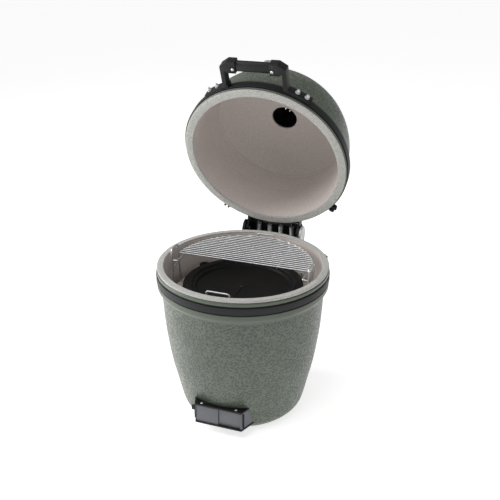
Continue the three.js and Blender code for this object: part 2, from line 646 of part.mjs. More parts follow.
// Pan: a cast plate with a wide flange, a stepped floor, a boss, a rib and a lug.
const panBody = turned([
  [0, 413], [148, 413], [158, 416], [164, PAN_FLANGE_Z], [PAN_RADIUS, PAN_FLANGE_Z],
  [PAN_RADIUS, 433.5], [171, 433.5], [167, 436.5], [160, 430], [151, 428], [147, 421], [10, 421],
  [8, 424], [0, 424],
], 32);
const LUG_ANGLE = -118;
const rib = block(-1.5, 1.5, -147, 0, 418, 423);
const lug = rod(fromFront(194, LUG_ANGLE, PAN_FLANGE_Z), fromFront(194, LUG_ANGLE, 433), 17, 12);
const panHole = rod(fromFront(202, LUG_ANGLE, 420), fromFront(202, LUG_ANGLE, 440), 4.5, 8);
put(grill, 'pan', join([panBody, rib, lug]).subtract(panHole), IRON);

// Grid rack: a hoop on each side, with a step, and a ledge that runs round the back under the grid.
const LEDGE_RADIUS = 207;
const LEDGE_END = 221.4;
const ledge = [arcWire(LEDGE_RADIUS, RACK_LEDGE_Z, 0, 180, WIRE, 20)];
for (const [name, side] of SIDES) {
  const hoop = wire(eased([
    [side * 221, 8, legFoot], [side * 229, 8, 531], [side * 226, -44, 531], [side * 222, -44, legFoot],
  ], 9), WIRE);
  const step = wire([[side * 225.3, 8, 470], [side * 224, -44, 470]], WIRE);
  put(grill, `rack_hoop_${name}`, hoop.add(step), STEEL);
  ledge.push(wire(eased([
    [side * LEDGE_END, -44, RACK_LEDGE_Z], [side * LEDGE_RADIUS, -42, RACK_LEDGE_Z],
    [side * LEDGE_RADIUS, 4, RACK_LEDGE_Z],
  ], 5), WIRE));
}
put(grill, 'rack_ledge', join(ledge), STEEL);

// Half grid: parallel rods inside a half-moon frame, on two cross rods.
const GRID_FRONT = 3;
const gridBend = [];
for (let i = 0; i <= 20; i += 1) {
  const angle = THREE.MathUtils.degToRad(0.8 + (178.4 * i) / 20);
  gridBend.push([Math.cos(angle), Math.sin(angle)]);
}
const gridOutline = [
  ...gridBend.map(([c, s]) => [c * (GRID_RADIUS + GRID_ROD), s * (GRID_RADIUS + GRID_ROD)]),
  ...gridBend.reverse().map(([c, s]) => [c * (GRID_RADIUS - GRID_ROD), s * (GRID_RADIUS - GRID_ROD)]),
];
const gridPieces = [slab(gridOutline, GRID_Z - 2.4, GRID_Z + 2.4)];
for (let i = 0; i < GRID_RODS; i += 1) {
  const y = GRID_FRONT + i * GRID_PITCH;
  const half = Math.sqrt(GRID_RADIUS ** 2 - y ** 2);
  gridPieces.push(rod([-half, y, GRID_Z], [half, y, GRID_Z], GRID_ROD, 4));
}
for (const x of [-110, 110]) {
  gridPieces.push(block(x - 2.5, x + 2.5, GRID_FRONT - 1, 188, GRID_Z - 5.6, GRID_Z - 2));
}
put(grill, 'half_grid', join(gridPieces), STEEL);

export default grill;
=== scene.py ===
# A ceramic charcoal grill with a domed lid on a sprung hinge, standing open.
# Lengths in the lists below are millimetres. +Z is up, the front faces -Y, and the ground is Z = 0.
# Pieces of the lid are drawn closed, from the centre of its rim, and swung open by OPENED.

import json
import math

import bmesh
import bpy
from mathutils import Matrix, Vector


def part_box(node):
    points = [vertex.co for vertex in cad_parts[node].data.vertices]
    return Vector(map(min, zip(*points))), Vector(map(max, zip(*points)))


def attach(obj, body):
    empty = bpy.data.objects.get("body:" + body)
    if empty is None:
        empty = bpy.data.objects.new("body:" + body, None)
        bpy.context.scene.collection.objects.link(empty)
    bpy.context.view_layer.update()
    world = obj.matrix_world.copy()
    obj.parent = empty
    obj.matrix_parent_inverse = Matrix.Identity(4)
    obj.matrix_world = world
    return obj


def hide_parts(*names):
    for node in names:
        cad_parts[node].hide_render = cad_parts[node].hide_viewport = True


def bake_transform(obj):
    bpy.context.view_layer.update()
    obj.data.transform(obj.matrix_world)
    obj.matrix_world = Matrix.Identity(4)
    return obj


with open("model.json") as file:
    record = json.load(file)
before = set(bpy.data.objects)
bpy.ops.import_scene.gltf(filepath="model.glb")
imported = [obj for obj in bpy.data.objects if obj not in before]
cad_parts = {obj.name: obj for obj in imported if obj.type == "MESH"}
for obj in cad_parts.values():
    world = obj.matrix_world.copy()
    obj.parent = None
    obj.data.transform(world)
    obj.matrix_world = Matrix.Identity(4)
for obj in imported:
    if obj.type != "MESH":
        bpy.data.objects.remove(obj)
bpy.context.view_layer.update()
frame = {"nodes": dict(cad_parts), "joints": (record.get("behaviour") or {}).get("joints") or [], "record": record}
scene = bpy.context.scene

MM = 0.001
HERE = Matrix.Identity(4)


# Where things are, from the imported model

def low(node):
    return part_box(node)[0]


def high(node):
    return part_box(node)[1]


def centre(node):
    return (low(node) + high(node)) / 2


RIM = high("base_gasket").z + 0.3 * MM
hinge = next(joint for joint in frame["joints"] if joint["name"] == "lid_hinge")
PIVOT = Vector(hinge["pos_m"])
OPEN_TURN = Matrix.Rotation(-math.radians(hinge["range_deg"][1]), 4, "X")
OPENED = Matrix.Translation(PIVOT) @ OPEN_TURN @ Matrix.Translation(Vector((0, 0, RIM)) - PIVOT)


def standing(point, direction):
    """A frame at a point in millimetres whose Z runs along a direction."""
    turn = Vector(direction).to_track_quat("Z", "Y").to_matrix().to_4x4()
    return Matrix.Translation(Vector(point) * MM) @ turn


def round_axis(radius, angle, height):
    """A point on a circle about Z, at an angle in degrees from the front towards +X."""
    turn = math.radians(angle)
    return Vector((radius * math.sin(turn), -radius * math.cos(turn), height))


# Node trees

def add(tree, kind, values=None, **settings):
    """A node with its settings; each value is a number, a colour or another node's socket."""
    node = tree.nodes.new(kind)
    for name, value in settings.items():
        setattr(node, name, value)
    for key, value in (values or {}).items():
        socket = node.inputs[key]
        if isinstance(value, bpy.types.NodeSocket):
            tree.links.new(value, socket)
        else:
            socket.default_value = value
    return node


def group(kind, name, inputs, outputs):
    """An empty node group with named inputs (name, type, value) and outputs (name, type)."""
    tree = bpy.data.node_groups.new(name, kind)
    for title, form, value in inputs:
        socket = tree.interface.new_socket(title, in_out="INPUT", socket_type=form)
        if value is not None:
            socket.default_value = value
    for title, form in outputs:
        tree.interface.new_socket(title, in_out="OUTPUT", socket_type=form)
    return tree, tree.nodes.new("NodeGroupInput").outputs, tree.nodes.new("NodeGroupOutput").inputs


def maths(tree, operation, first, second=0.0, third=0.0, clamp=False):
    values = {0: first, 1: second, 2: third}
    return add(tree, "ShaderNodeMath", values, operation=operation, use_clamp=clamp).outputs[0]


def noise(tree, spot, scale, detail=2.0, **more):
    values = {"Vector": spot, "Scale": scale, "Detail": detail, **more}
    return add(tree, "ShaderNodeTexNoise", values).outputs


def remapped(tree, value, low_in, high_in, low_out=0.0, high_out=1.0, curve="LINEAR"):
    """A value moved from one range to another, and held inside it."""
    values = {"Value": value, "From Min": low_in, "From Max": high_in, "To Min": low_out, "To Max": high_out}
    return add(tree, "ShaderNodeMapRange", values, interpolation_type=curve).outputs[0]


def blended(tree, share, first, second):
    """Two colours mixed by a share."""
    return add(tree, "ShaderNodeMix", {0: share, 6: first, 7: second}, data_type="RGBA").outputs[2]


FLOAT, COUNT, VECTOR, COLOUR = "NodeSocketFloat", "NodeSocketInt", "NodeSocketVector", "NodeSocketColor"
SHAPE, FINISH, THING = "NodeSocketGeometry", "NodeSocketMaterial", "NodeSocketObject"
WELD = 2e-6  # metres between points that become one


def shape_tree(name, inputs):
    sockets = [("Geometry", SHAPE, None), *inputs, ("Finish", FINISH, None)]
    return group("GeometryNodeTree", name, sockets, [("Geometry", SHAPE)])


def end_shape(tree, given, out, geometry):
    """Every tree's end: real faces, joined where they meet, in their finish."""
    real = add(tree, "GeometryNodeRealizeInstances", {"Geometry": geometry})
    joined = add(tree, "GeometryNodeMergeByDistance", {"Geometry": real.outputs[0], "Distance": WELD})
    painted = add(tree, "GeometryNodeSetMaterial", {
        "Geometry": joined.outputs[0], "Material": given["Finish"],
    })
    tree.links.new(painted.outputs[0], out["Geometry"])
    return painted


def named(tree, name, form="FLOAT"):
    return add(tree, "GeometryNodeInputNamedAttribute", {"Name": name}, data_type=form).outputs[0]


def turning_tree():
    """A profile of radius and height, its corners rounded, is turned about Z."""
    tree, given, out = shape_tree("turned", [("Sides", COUNT, 128), ("Bare Finish", FINISH, None)])
    line = add(tree, "GeometryNodeMeshToCurve", {"Mesh": given["Geometry"]})
    eased = add(tree, "GeometryNodeFilletCurve", {
        "Curve": line.outputs[0], "Count": 3, "Radius": named(tree, "rounding"), "Limit Radius": True,
    }, mode="POLY")
    moved = add(tree, "GeometryNodeTransform", {
        "Geometry": eased.outputs[0], "Translation": (-1, 0, 0), "Scale": (1, -1, 1),
    })
    circle = add(tree, "GeometryNodeCurvePrimitiveCircle", {"Resolution": given["Sides"], "Radius": 1.0})
    body = add(tree, "GeometryNodeCurveToMesh", {
        "Curve": circle.outputs[0], "Profile Curve": moved.outputs[0],
    })
    painted = end_shape(tree, given, out, body.outputs[0])
    bare = maths(tree, "LESS_THAN", named(tree, "skin"), -0.5)
    clay = add(tree, "GeometryNodeSetMaterial", {
        "Geometry": painted.outputs[0], "Selection": bare, "Material": given["Bare Finish"],
    })
    tree.links.new(clay.outputs[0], out["Geometry"])
    return tree


def wire_tree():
    """Paths become round wire, bent at their corners."""
    tree, given, out = shape_tree("bent wire", [
        ("Thickness", FLOAT, 0.006), ("Bend", FLOAT, 0.008), ("Sides", COUNT, 12),
    ])
    line = add(tree, "GeometryNodeMeshToCurve", {"Mesh": given["Geometry"]})
    eased = add(tree, "GeometryNodeFilletCurve", {
        "Curve": line.outputs[0], "Count": 5, "Radius": given["Bend"], "Limit Radius": True,
    }, mode="POLY")
    radius = maths(tree, "MULTIPLY", given["Thickness"], 0.5)
    section = add(tree, "GeometryNodeCurvePrimitiveCircle", {"Resolution": given["Sides"], "Radius": radius})
    body = add(tree, "GeometryNodeCurveToMesh", {
        "Curve": eased.outputs[0], "Profile Curve": section.outputs[0], "Fill Caps": True,
    })
    end_shape(tree, given, out, body.outputs[0])
    return tree


def coil_tree():
    """A close coil of wire that rises along Z."""
    tree, given, out = shape_tree("coil", [
        ("Turns", FLOAT, 30.0), ("Radius", FLOAT, 0.0074), ("Rise", FLOAT, 0.01), ("Height", FLOAT, 0.08),
        ("Thickness", FLOAT, 0.002),
    ])
    spiral = add(tree, "GeometryNodeCurveSpiral", {
        "Resolution": 16, "Rotations": given["Turns"], "Start Radius": given["Radius"],
        "End Radius": given["Radius"], "Height": given["Height"],
    })
    radius = maths(tree, "MULTIPLY", given["Thickness"], 0.5)
    section = add(tree, "GeometryNodeCurvePrimitiveCircle", {"Resolution": 8, "Radius": radius})
    body = add(tree, "GeometryNodeCurveToMesh", {
        "Curve": spiral.outputs[0], "Profile Curve": section.outputs[0], "Fill Caps": True,
    })
    rise = add(tree, "ShaderNodeCombineXYZ", {"Z": given["Rise"]})
    lifted = add(tree, "GeometryNodeTransform", {"Geometry": body.outputs[0], "Translation": rise.outputs[0]})
    whole = add(tree, "GeometryNodeJoinGeometry")
    tree.links.new(given["Geometry"], whole.inputs[0])
    tree.links.new(lifted.outputs[0], whole.inputs[0])
    end_shape(tree, given, out, whole.outputs[0])
    return tree


def placing_tree():
    """A copy of a piece stands on each point, with its Z along the point's way."""
    tree, given, out = shape_tree("set in place", [("Piece", THING, None)])
    piece = add(tree, "GeometryNodeObjectInfo", {"Object": given["Piece"], "As Instance": True})
    way = named(tree, "way", "FLOAT_VECTOR")
    turn = add(tree, "FunctionNodeAlignRotationToVector", {"Vector": way}, axis="Z")
    placed = add(tree, "GeometryNodeInstanceOnPoints", {
        "Points": given["Geometry"], "Instance": piece.outputs["Geometry"], "Rotation": turn.outputs[0],
    })
    end_shape(tree, given, out, placed.outputs[0])
    return tree


def ring_row_tree():
    """Copies of a piece stand in a ring about Z, each one turned to face outwards."""
    tree, given, out = shape_tree("ring row", [
        ("Piece", THING, None), ("Count", COUNT, 6), ("Radius", FLOAT, 0.03), ("First Angle", FLOAT, 0.0),
    ])
    piece = add(tree, "GeometryNodeObjectInfo", {"Object": given["Piece"], "As Instance": True})
    spots = add(tree, "GeometryNodeMeshLine", {"Count": given["Count"], "Offset": (0, 0, 0)})
    place = add(tree, "GeometryNodeInputIndex").outputs[0]
    step = maths(tree, "DIVIDE", 2 * math.pi, given["Count"])
    angle = maths(tree, "MULTIPLY_ADD", place, step, given["First Angle"])
    turn = add(tree, "ShaderNodeCombineXYZ", {"Z": angle})
    out_x = maths(tree, "MULTIPLY", maths(tree, "COSINE", angle), given["Radius"])
    out_y = maths(tree, "MULTIPLY", maths(tree, "SINE", angle), given["Radius"])
    spot = add(tree, "ShaderNodeCombineXYZ", {"X": out_x, "Y": out_y})
    moved = add(tree, "GeometryNodeSetPosition", {"Geometry": spots.outputs[0], "Position": spot.outputs[0]})
    rotation = add(tree, "FunctionNodeEulerToRotation", {"Euler": turn.outputs[0]})
    placed = add(tree, "GeometryNodeInstanceOnPoints", {
        "Points": moved.outputs[0], "Instance": piece.outputs["Geometry"], "Rotation": rotation.outputs[0],
    })
    end_shape(tree, given, out, placed.outputs[0])
    return tree


def rods_tree():
    """Parallel rods along X, each one as long as a half-moon of the given radius lets it be."""
    tree, given, out = shape_tree("grid rods", [
        ("Count", COUNT, 16), ("Pitch", FLOAT, 0.014), ("Front", FLOAT, 0.003), ("Height", FLOAT, 0.5),
        ("Radius", FLOAT, 0.22), ("Rod", FLOAT, 0.0032),
    ])
    start = add(tree, "ShaderNodeCombineXYZ", {"Y": given["Front"], "Z": given["Height"]})
    step = add(tree, "ShaderNodeCombineXYZ", {"Y": given["Pitch"]})
    row = add(tree, "GeometryNodeMeshLine", {
        "Count": given["Count"], "Start Location": start.outputs[0], "Offset": step.outputs[0],
    })
    place = add(tree, "GeometryNodeInputPosition").outputs[0]
    depth = add(tree, "ShaderNodeSeparateXYZ", {0: place}).outputs["Y"]
    whole_square = maths(tree, "POWER", given["Radius"], 2.0)
    half = maths(tree, "SQRT", maths(tree, "SUBTRACT", whole_square, maths(tree, "POWER", depth, 2.0)))
    size = add(tree, "ShaderNodeCombineXYZ", {"X": half, "Y": 1.0, "Z": 1.0})
    unit = add(tree, "GeometryNodeCurvePrimitiveLine", {"Start": (-1, 0, 0), "End": (1, 0, 0)})
    rods = add(tree, "GeometryNodeInstanceOnPoints", {
        "Points": row.outputs[0], "Instance": unit.outputs[0], "Scale": size.outputs[0],
    })
    lines = add(tree, "GeometryNodeRealizeInstances", {"Geometry": rods.outputs[0]})
    fine = add(tree, "GeometryNodeResampleCurve", {"Curve": lines.outputs[0], "Count": 9})
    ends = add(tree, "GeometryNodeCurveEndpointSelection").outputs[0]
    thick = add(tree, "GeometryNodeSetCurveRadius", {
        "Curve": fine.outputs[0], "Selection": ends, "Radius": 0.82,
    })
    section = add(tree, "GeometryNodeCurvePrimitiveCircle", {"Resolution": 12, "Radius": given["Rod"]})
    body = add(tree, "GeometryNodeCurveToMesh", {
        "Curve": thick.outputs[0], "Profile Curve": section.outputs[0], "Fill Caps": True,
    })
    whole = add(tree, "GeometryNodeJoinGeometry")
    tree.links.new(given["Geometry"], whole.inputs[0])
    tree.links.new(body.outputs[0], whole.inputs[0])
    end_shape(tree, given, out, whole.outputs[0])
    return tree


TURNED = turning_tree()
WIRE = wire_tree()
COIL = coil_tree()
IN_PLACE = placing_tree()
RING_ROW = ring_row_tree()
RODS = rods_tree()


def grown(name, start, tree, **sizes):
    """Runs a tree on a starting mesh and keeps what it makes as a plain mesh, faces outwards."""
    maker = bpy.data.objects.new(name, start)
    scene.collection.objects.link(maker)
    modifier = maker.modifiers.new("make", "NODES")
    modifier.node_group = tree
    for socket in tree.interface.items_tree:
        title = socket.name.replace(" ", "_").lower()
        if socket.in_out == "INPUT" and title in sizes:
            modifier[socket.identifier] = sizes[title]
    return kept(maker)


def kept(maker):
    """The shape with its modifiers made real, its seams closed and its faces outwards."""
    graph = bpy.context.evaluated_depsgraph_get()
    made = bpy.data.meshes.new_from_object(
        maker.evaluated_get(graph), preserve_all_data_layers=True, depsgraph=graph)
    maker.modifiers.clear()
    maker.data = made
    shape = bmesh.new()
    shape.from_mesh(made)
    bmesh.ops.remove_doubles(shape, verts=shape.verts, dist=1e-6)
    bmesh.ops.dissolve_degenerate(shape, edges=shape.edges, dist=1e-7)
    bmesh.ops.recalc_face_normals(shape, faces=shape.faces)
    shape.to_mesh(made)
    shape.free()
    shade(made)
    return maker


SHARP = math.radians(34)  # edges that turn more than this stay sharp


def shade(mesh):
    mesh.polygons.foreach_set("use_smooth", [True] * len(mesh.polygons))
    mesh.set_sharp_from_angle(angle=SHARP)


def joined(name, parts):
    """Several pieces in one mesh, each with its own finishes."""
    whole = parts[0]
    with bpy.context.temp_override(active_object=whole, selected_editable_objects=parts):
        bpy.ops.object.join()
    whole.name = name
    return whole


def at(piece, place):
    piece.data.transform(place)
    return piece


def gone(piece):
    bpy.data.objects.remove(piece)


def fitted(piece, body, slot, *nodes):
    """The finished piece moves with its body and stands for its CAD nodes."""
    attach(piece, body)
    if nodes:
        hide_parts(*nodes)
    return piece


# Ways of making pieces

def through(points, steps=5):
    """A smooth line through points."""
    spread = [points[0], *points, points[-1]]
    line = []
    for i in range(len(points) - 1):
        a, b, c, d = (Vector(spread[i + k]) for k in range(4))
        for k in range(steps):
            t = k / steps
            square, cube = 2 * a - 5 * b + 4 * c - d, 3 * b - a - 3 * c + d
            line.append(tuple(0.5 * (2 * b + (c - a) * t + square * t * t + cube * t ** 3)))
    return [*line, tuple(points[-1])]


def bare_clay(points):
    """Profile rows without glaze."""
    return [(r, z, 0, -1) for r, z in points]


def plug(radius, bottom, top, rounding=0.0):
    """The profile of a plain round block."""
    return [(0, bottom), (radius, bottom, rounding), (radius, top, rounding), (0, top)]


def turned(name, profile, finish, sides=128, closed=False, place=HERE, bare=None):
    """A piece turned about Z. Each row is radius, height, the rounding of that corner, and the skin:
    1 dimpled glaze, 0 smooth, -1 bare."""
    rows = [(*row, 0.0, 0.0)[:4] for row in profile]
    line = bpy.data.meshes.new(name)
    edges = [(i, i + 1) for i in range(len(rows) - 1)] + ([(len(rows) - 1, 0)] if closed else [])
    line.from_pydata([(r * MM, z * MM, 0) for r, z, _, _ in rows], edges, [])
    line.attributes.new("rounding", "FLOAT", "POINT").data.foreach_set("value", [row[2] * MM for row in rows])
    line.attributes.new("skin", "FLOAT", "POINT").data.foreach_set("value", [row[3] for row in rows])
    return at(grown(name, line, TURNED, sides=sides, finish=finish, bare_finish=bare or finish), place)


def hoop(name, inner, outer, bottom, top, rounding, finish, **more):
    """A turned ring with rounded edges."""
    corners = [(inner, bottom), (outer, bottom), (outer, top), (inner, top)]
    return turned(name, [(*corner, rounding) for corner in corners], finish, closed=True, **more)


def wires(name, paths, finish, thickness=6.0, bend=7.0, loops=()):
    """Bent wires in one piece. Each path is a list of points; a loop closes on itself."""
    points, edges = [], []
    for path in [*paths, *loops]:
        first = len(points)
        points += [Vector(point) * MM for point in path]
        edges += [(i, i + 1) for i in range(first, len(points) - 1)]
        if path in loops:
            edges.append((len(points) - 1, first))
    line = bpy.data.meshes.new(name)
    line.from_pydata(points, edges, [])
    return grown(name, line, WIRE, thickness=thickness * MM, bend=bend * MM, finish=finish)


def block(name, corner, far_corner, finish, bevel=0.0, place=HERE):
    """A block with eased edges between two corners in millimetres."""
    shape = bmesh.new()
    bmesh.ops.create_cube(shape, size=1)
    a, b = Vector(corner) * MM, Vector(far_corner) * MM
    spread = Matrix.Translation((a + b) / 2) @ Matrix.Diagonal((*(b - a), 1))
    bmesh.ops.transform(shape, verts=shape.verts, matrix=spread)
    if bevel:
        edges = shape.edges[:]
        bmesh.ops.bevel(shape, geom=edges, offset=bevel * MM, segments=2, profile=0.5, affect="EDGES")
    mesh = bpy.data.meshes.new(name)
    shape.to_mesh(mesh)
    shape.free()
    mesh.materials.append(finish)
    shade(mesh)
    piece = bpy.data.objects.new(name, mesh)
    scene.collection.objects.link(piece)
    return at(piece, place)


def cut(piece, *cutters):
    """Takes the cutters out of a piece."""
    for cutter in cutters:
        modifier = piece.modifiers.new("cut", "BOOLEAN")
        modifier.operation = "DIFFERENCE"
        modifier.solver = "EXACT"
        modifier.object = cutter
    piece = kept(piece)
    for cutter in cutters:
        gone(cutter)
    return piece


def eased(name, node, finish, width, angle=30):
    """A copy of a CAD node with its faces merged and its edges eased."""
    shape = bmesh.new()
    shape.from_mesh(frame["nodes"][node].data)
    bmesh.ops.remove_doubles(shape, verts=shape.verts, dist=1e-5)
    bmesh.ops.dissolve_limit(shape, angle_limit=math.radians(0.6), verts=shape.verts, edges=shape.edges)
    mesh = bpy.data.meshes.new(name)
    shape.to_mesh(mesh)
    shape.free()
    mesh.materials.clear()
    mesh.materials.append(finish)
    piece = bpy.data.objects.new(name, mesh)
    scene.collection.objects.link(piece)
    bevel = piece.modifiers.new("ease", "BEVEL")
    bevel.width = width * MM
    bevel.segments = 2
    bevel.limit_method = "ANGLE"
    bevel.angle_limit = math.radians(angle)
    return kept(piece)


def in_place(name, piece, points, ways, finish):
    """Copies of one piece on points in millimetres, each along its own way; the pattern piece goes."""
    spots = bpy.data.meshes.new(name)
    spots.from_pydata([Vector(point) * MM for point in points], [], [])
    way = spots.attributes.new("way", "FLOAT_VECTOR", "POINT")
    way.data.foreach_set("vector", [part for direction in ways for part in Vector(direction)])
    made = grown(name, spots, IN_PLACE, piece=piece, finish=finish)
    gone(piece)
    return made


def ring_row(name, piece, count, radius, finish, first=0.0, place=HERE):
    """Copies of one piece in a ring about Z; the pattern piece goes."""
    made = grown(name, bpy.data.meshes.new(name), RING_ROW, piece=piece, count=count,
                 radius=radius * MM, first_angle=math.radians(first), finish=finish)
    gone(piece)
    return at(made, place)


# Finishes

def tone(code):
    """A colour from its six hex digits, as light."""
    parts = [int(code[i:i + 2], 16) / 255 for i in (0, 2, 4)]
    return (*(p / 12.92 if p <= 0.04045 else ((p + 0.055) / 1.055) ** 2.4 for p in parts), 1.0)


def grain_group():
    """Uneven colour, gloss and height at one scale, stretched along an axis where the grain runs."""
    tree, given, out = group("ShaderNodeTree", "grain", [
        ("Colour", COLOUR, (0.5, 0.5, 0.5, 1)), ("Second Colour", COLOUR, (0.6, 0.6, 0.6, 1)),
        ("Scale", FLOAT, 200.0), ("Stretch", VECTOR, (1, 1, 1)), ("Detail", FLOAT, 4.0),
        ("Roughness", FLOAT, 0.5), ("Roughness Spread", FLOAT, 0.1), ("Cloud Scale", FLOAT, 12.0),
    ], [("Colour", COLOUR), ("Roughness", FLOAT), ("Height", FLOAT)])
    spot = add(tree, "ShaderNodeTexCoord").outputs["Object"]
    along = add(tree, "ShaderNodeVectorMath", {0: spot, 1: given["Stretch"]}, operation="MULTIPLY").outputs[0]
    fine = noise(tree, along, given["Scale"], given["Detail"], Roughness=0.6)["Fac"]
    cloud = noise(tree, spot, given["Cloud Scale"], 3.0)["Fac"]
    sharp = remapped(tree, fine, 0.36, 0.64)
    both = maths(tree, "MULTIPLY_ADD", sharp, 0.7, maths(tree, "MULTIPLY", cloud, 0.3), clamp=True)
    tree.links.new(blended(tree, both, given["Colour"], given["Second Colour"]), out["Colour"])
    swing = maths(tree, "MULTIPLY", maths(tree, "SUBTRACT", both, 0.5), given["Roughness Spread"])
    tree.links.new(maths(tree, "ADD", given["Roughness"], swing, clamp=True), out["Roughness"])
    tree.links.new(sharp, out["Height"])
    return tree


def edge_group():
    """Painted highlight along edges: 1 on an edge, 0 on a flat, broken up by a coarse noise."""
    tree, given, out = group("ShaderNodeTree", "rubbed edges", [
        ("Width", FLOAT, 0.0012), ("Amount", FLOAT, 0.6),
    ], [("Mask", FLOAT)])
    round_over = add(tree, "ShaderNodeBevel", {"Radius": given["Width"]}, samples=4).outputs[0]
    true = add(tree, "ShaderNodeNewGeometry").outputs["Normal"]
    agree = add(tree, "ShaderNodeVectorMath", {0: round_over, 1: true}, operation="DOT_PRODUCT")
    edge = remapped(tree, agree.outputs["Value"], 0.995, 0.86)
    spot = add(tree, "ShaderNodeTexCoord").outputs["Object"]
    patchy = remapped(tree, noise(tree, spot, 180.0, 3.0)["Fac"], 0.4, 0.6)
    painted_highlight = maths(tree, "MULTIPLY", edge, patchy)
    tree.links.new(maths(tree, "MULTIPLY", painted_highlight, given["Amount"], clamp=True), out["Mask"])
    return tree


GRAIN = grain_group()
EDGE_HIGHLIGHT = edge_group()


def material(name, **constants):
    """A material with its shader's own constants set."""
    made = bpy.data.materials.new(name)
    made.use_nodes = True
    shader = made.node_tree.nodes["Principled BSDF"]
    for socket, value in constants.items():
        shader.inputs[socket.replace("_", " ")].default_value = value
    return made, made.node_tree, shader


def raised(tree, shader, height, strength, distance):
    bump = add(tree, "ShaderNodeBump", {"Height": height, "Strength": strength, "Distance": distance})
    tree.links.new(bump.outputs[0], shader.inputs["Normal"])


def grained(name, colour, second, scale, roughness, spread, bump, distance=0.0004, stretch=(1, 1, 1),
            detail=4.0, cloud=12.0, edge=None, edge_amount=0.5, **constants):
    """A finish of one grain, with a painted highlight along its edges in a third colour if one is given."""
    made, tree, shader = material(name, **constants)
    grain = add(tree, "ShaderNodeGroup", node_tree=GRAIN)
    values = {
        "Colour": tone(colour), "Second Colour": tone(second), "Scale": scale, "Stretch": stretch,
        "Detail": detail, "Roughness": roughness, "Roughness Spread": spread, "Cloud Scale": cloud,
    }
    for key, value in values.items():
        grain.inputs[key].default_value = value
    colour_out = grain.outputs["Colour"]
    # the edges get a painted highlight in the edge colour
    if edge:
        painted_highlight = add(tree, "ShaderNodeGroup", node_tree=EDGE_HIGHLIGHT)
        painted_highlight.inputs["Amount"].default_value = edge_amount
        colour_out = blended(tree, painted_highlight.outputs[0], colour_out, tone(edge))
    tree.links.new(colour_out, shader.inputs["Base Color"])
    tree.links.new(grain.outputs["Roughness"], shader.inputs["Roughness"])
    raised(tree, shader, grain.outputs["Height"], bump, distance)
    return made


def glaze():
    """Sage glaze with painted shade in its dimples and a painted highlight on the ridges between them."""
    made, tree, shader = material("sage_glaze", Coat_Weight=0.22, Coat_Roughness=0.25)
    spot = add(tree, "ShaderNodeTexCoord").outputs["Object"]
    sway = noise(tree, spot, 70.0)["Color"]
    level = add(tree, "ShaderNodeVectorMath", {0: sway, 1: (0.5, 0.5, 0.5)}, operation="SUBTRACT").outputs[0]
    swing = (0.003, 0.003, 0.003)
    swung = add(tree, "ShaderNodeVectorMath", {0: level, 1: swing, 2: spot}, operation="MULTIPLY_ADD")
    pits = add(tree, "ShaderNodeTexVoronoi", {"Vector": swung.outputs[0], "Scale": 150.0}).outputs["Distance"]
    dimple = remapped(tree, pits, 0.22, 0.72, curve="SMOOTHSTEP")
    skin = add(tree, "ShaderNodeAttribute", attribute_name="skin").outputs["Fac"]
    worked = maths(tree, "MULTIPLY", skin, 1.0, clamp=True)
    flat = maths(tree, "SUBTRACT", 1.0, worked)
    height = maths(tree, "MULTIPLY_ADD", dimple, worked, maths(tree, "MULTIPLY", flat, 0.5))
    # painted shade: darker colour in the dimples, lighter on the ridges
    painted_dimple_shading = blended(tree, height, tone("384036"), tone("50594b"))
    drift = remapped(tree, noise(tree, spot, 9.0, 5.0)["Fac"], 0.35, 0.65, 0.90, 1.08)
    toned = add(tree, "ShaderNodeVectorMath", {0: painted_dimple_shading, 3: drift}, operation="SCALE").outputs[0]
    specks = noise(tree, spot, 900.0)["Fac"]
    dark = remapped(tree, specks, 0.66, 0.74, 0.0, 0.35)
    speckled = blended(tree, dark, toned, tone("2c312a"))
    tree.links.new(speckled, shader.inputs["Base Color"])
    tree.links.new(remapped(tree, height, 0.0, 1.0, 0.55, 0.38), shader.inputs["Roughness"])
    raised(tree, shader, maths(tree, "MULTIPLY_ADD", specks, 0.06, height), 0.8, 0.0014)
    return made


def felt():
    """Pressed felt: pale and dark fibres lying every way, and a soft nap."""
    made, tree, shader = material("grey_felt", Sheen_Weight=0.35, Sheen_Roughness=0.6, Roughness=0.95)
    spot = add(tree, "ShaderNodeTexCoord").outputs["Object"]
    fleck = remapped(tree, noise(tree, spot, 420.0, 6.0, Roughness=0.75, Distortion=1.2)["Fac"], 0.38, 0.62)
    colour = add(tree, "ShaderNodeValToRGB", {"Fac": fleck})
    ramp = colour.color_ramp
    ramp.elements[0].position, ramp.elements[0].color = 0.0, tone("6d6c67")
    ramp.elements[1].position, ramp.elements[1].color = 1.0, tone("cac9c4")
    ramp.elements.new(0.4).color = tone("9d9c97")
    tree.links.new(colour.outputs[0], shader.inputs["Base Color"])
    raised(tree, shader, fleck, 0.5, 0.0006)
    return made
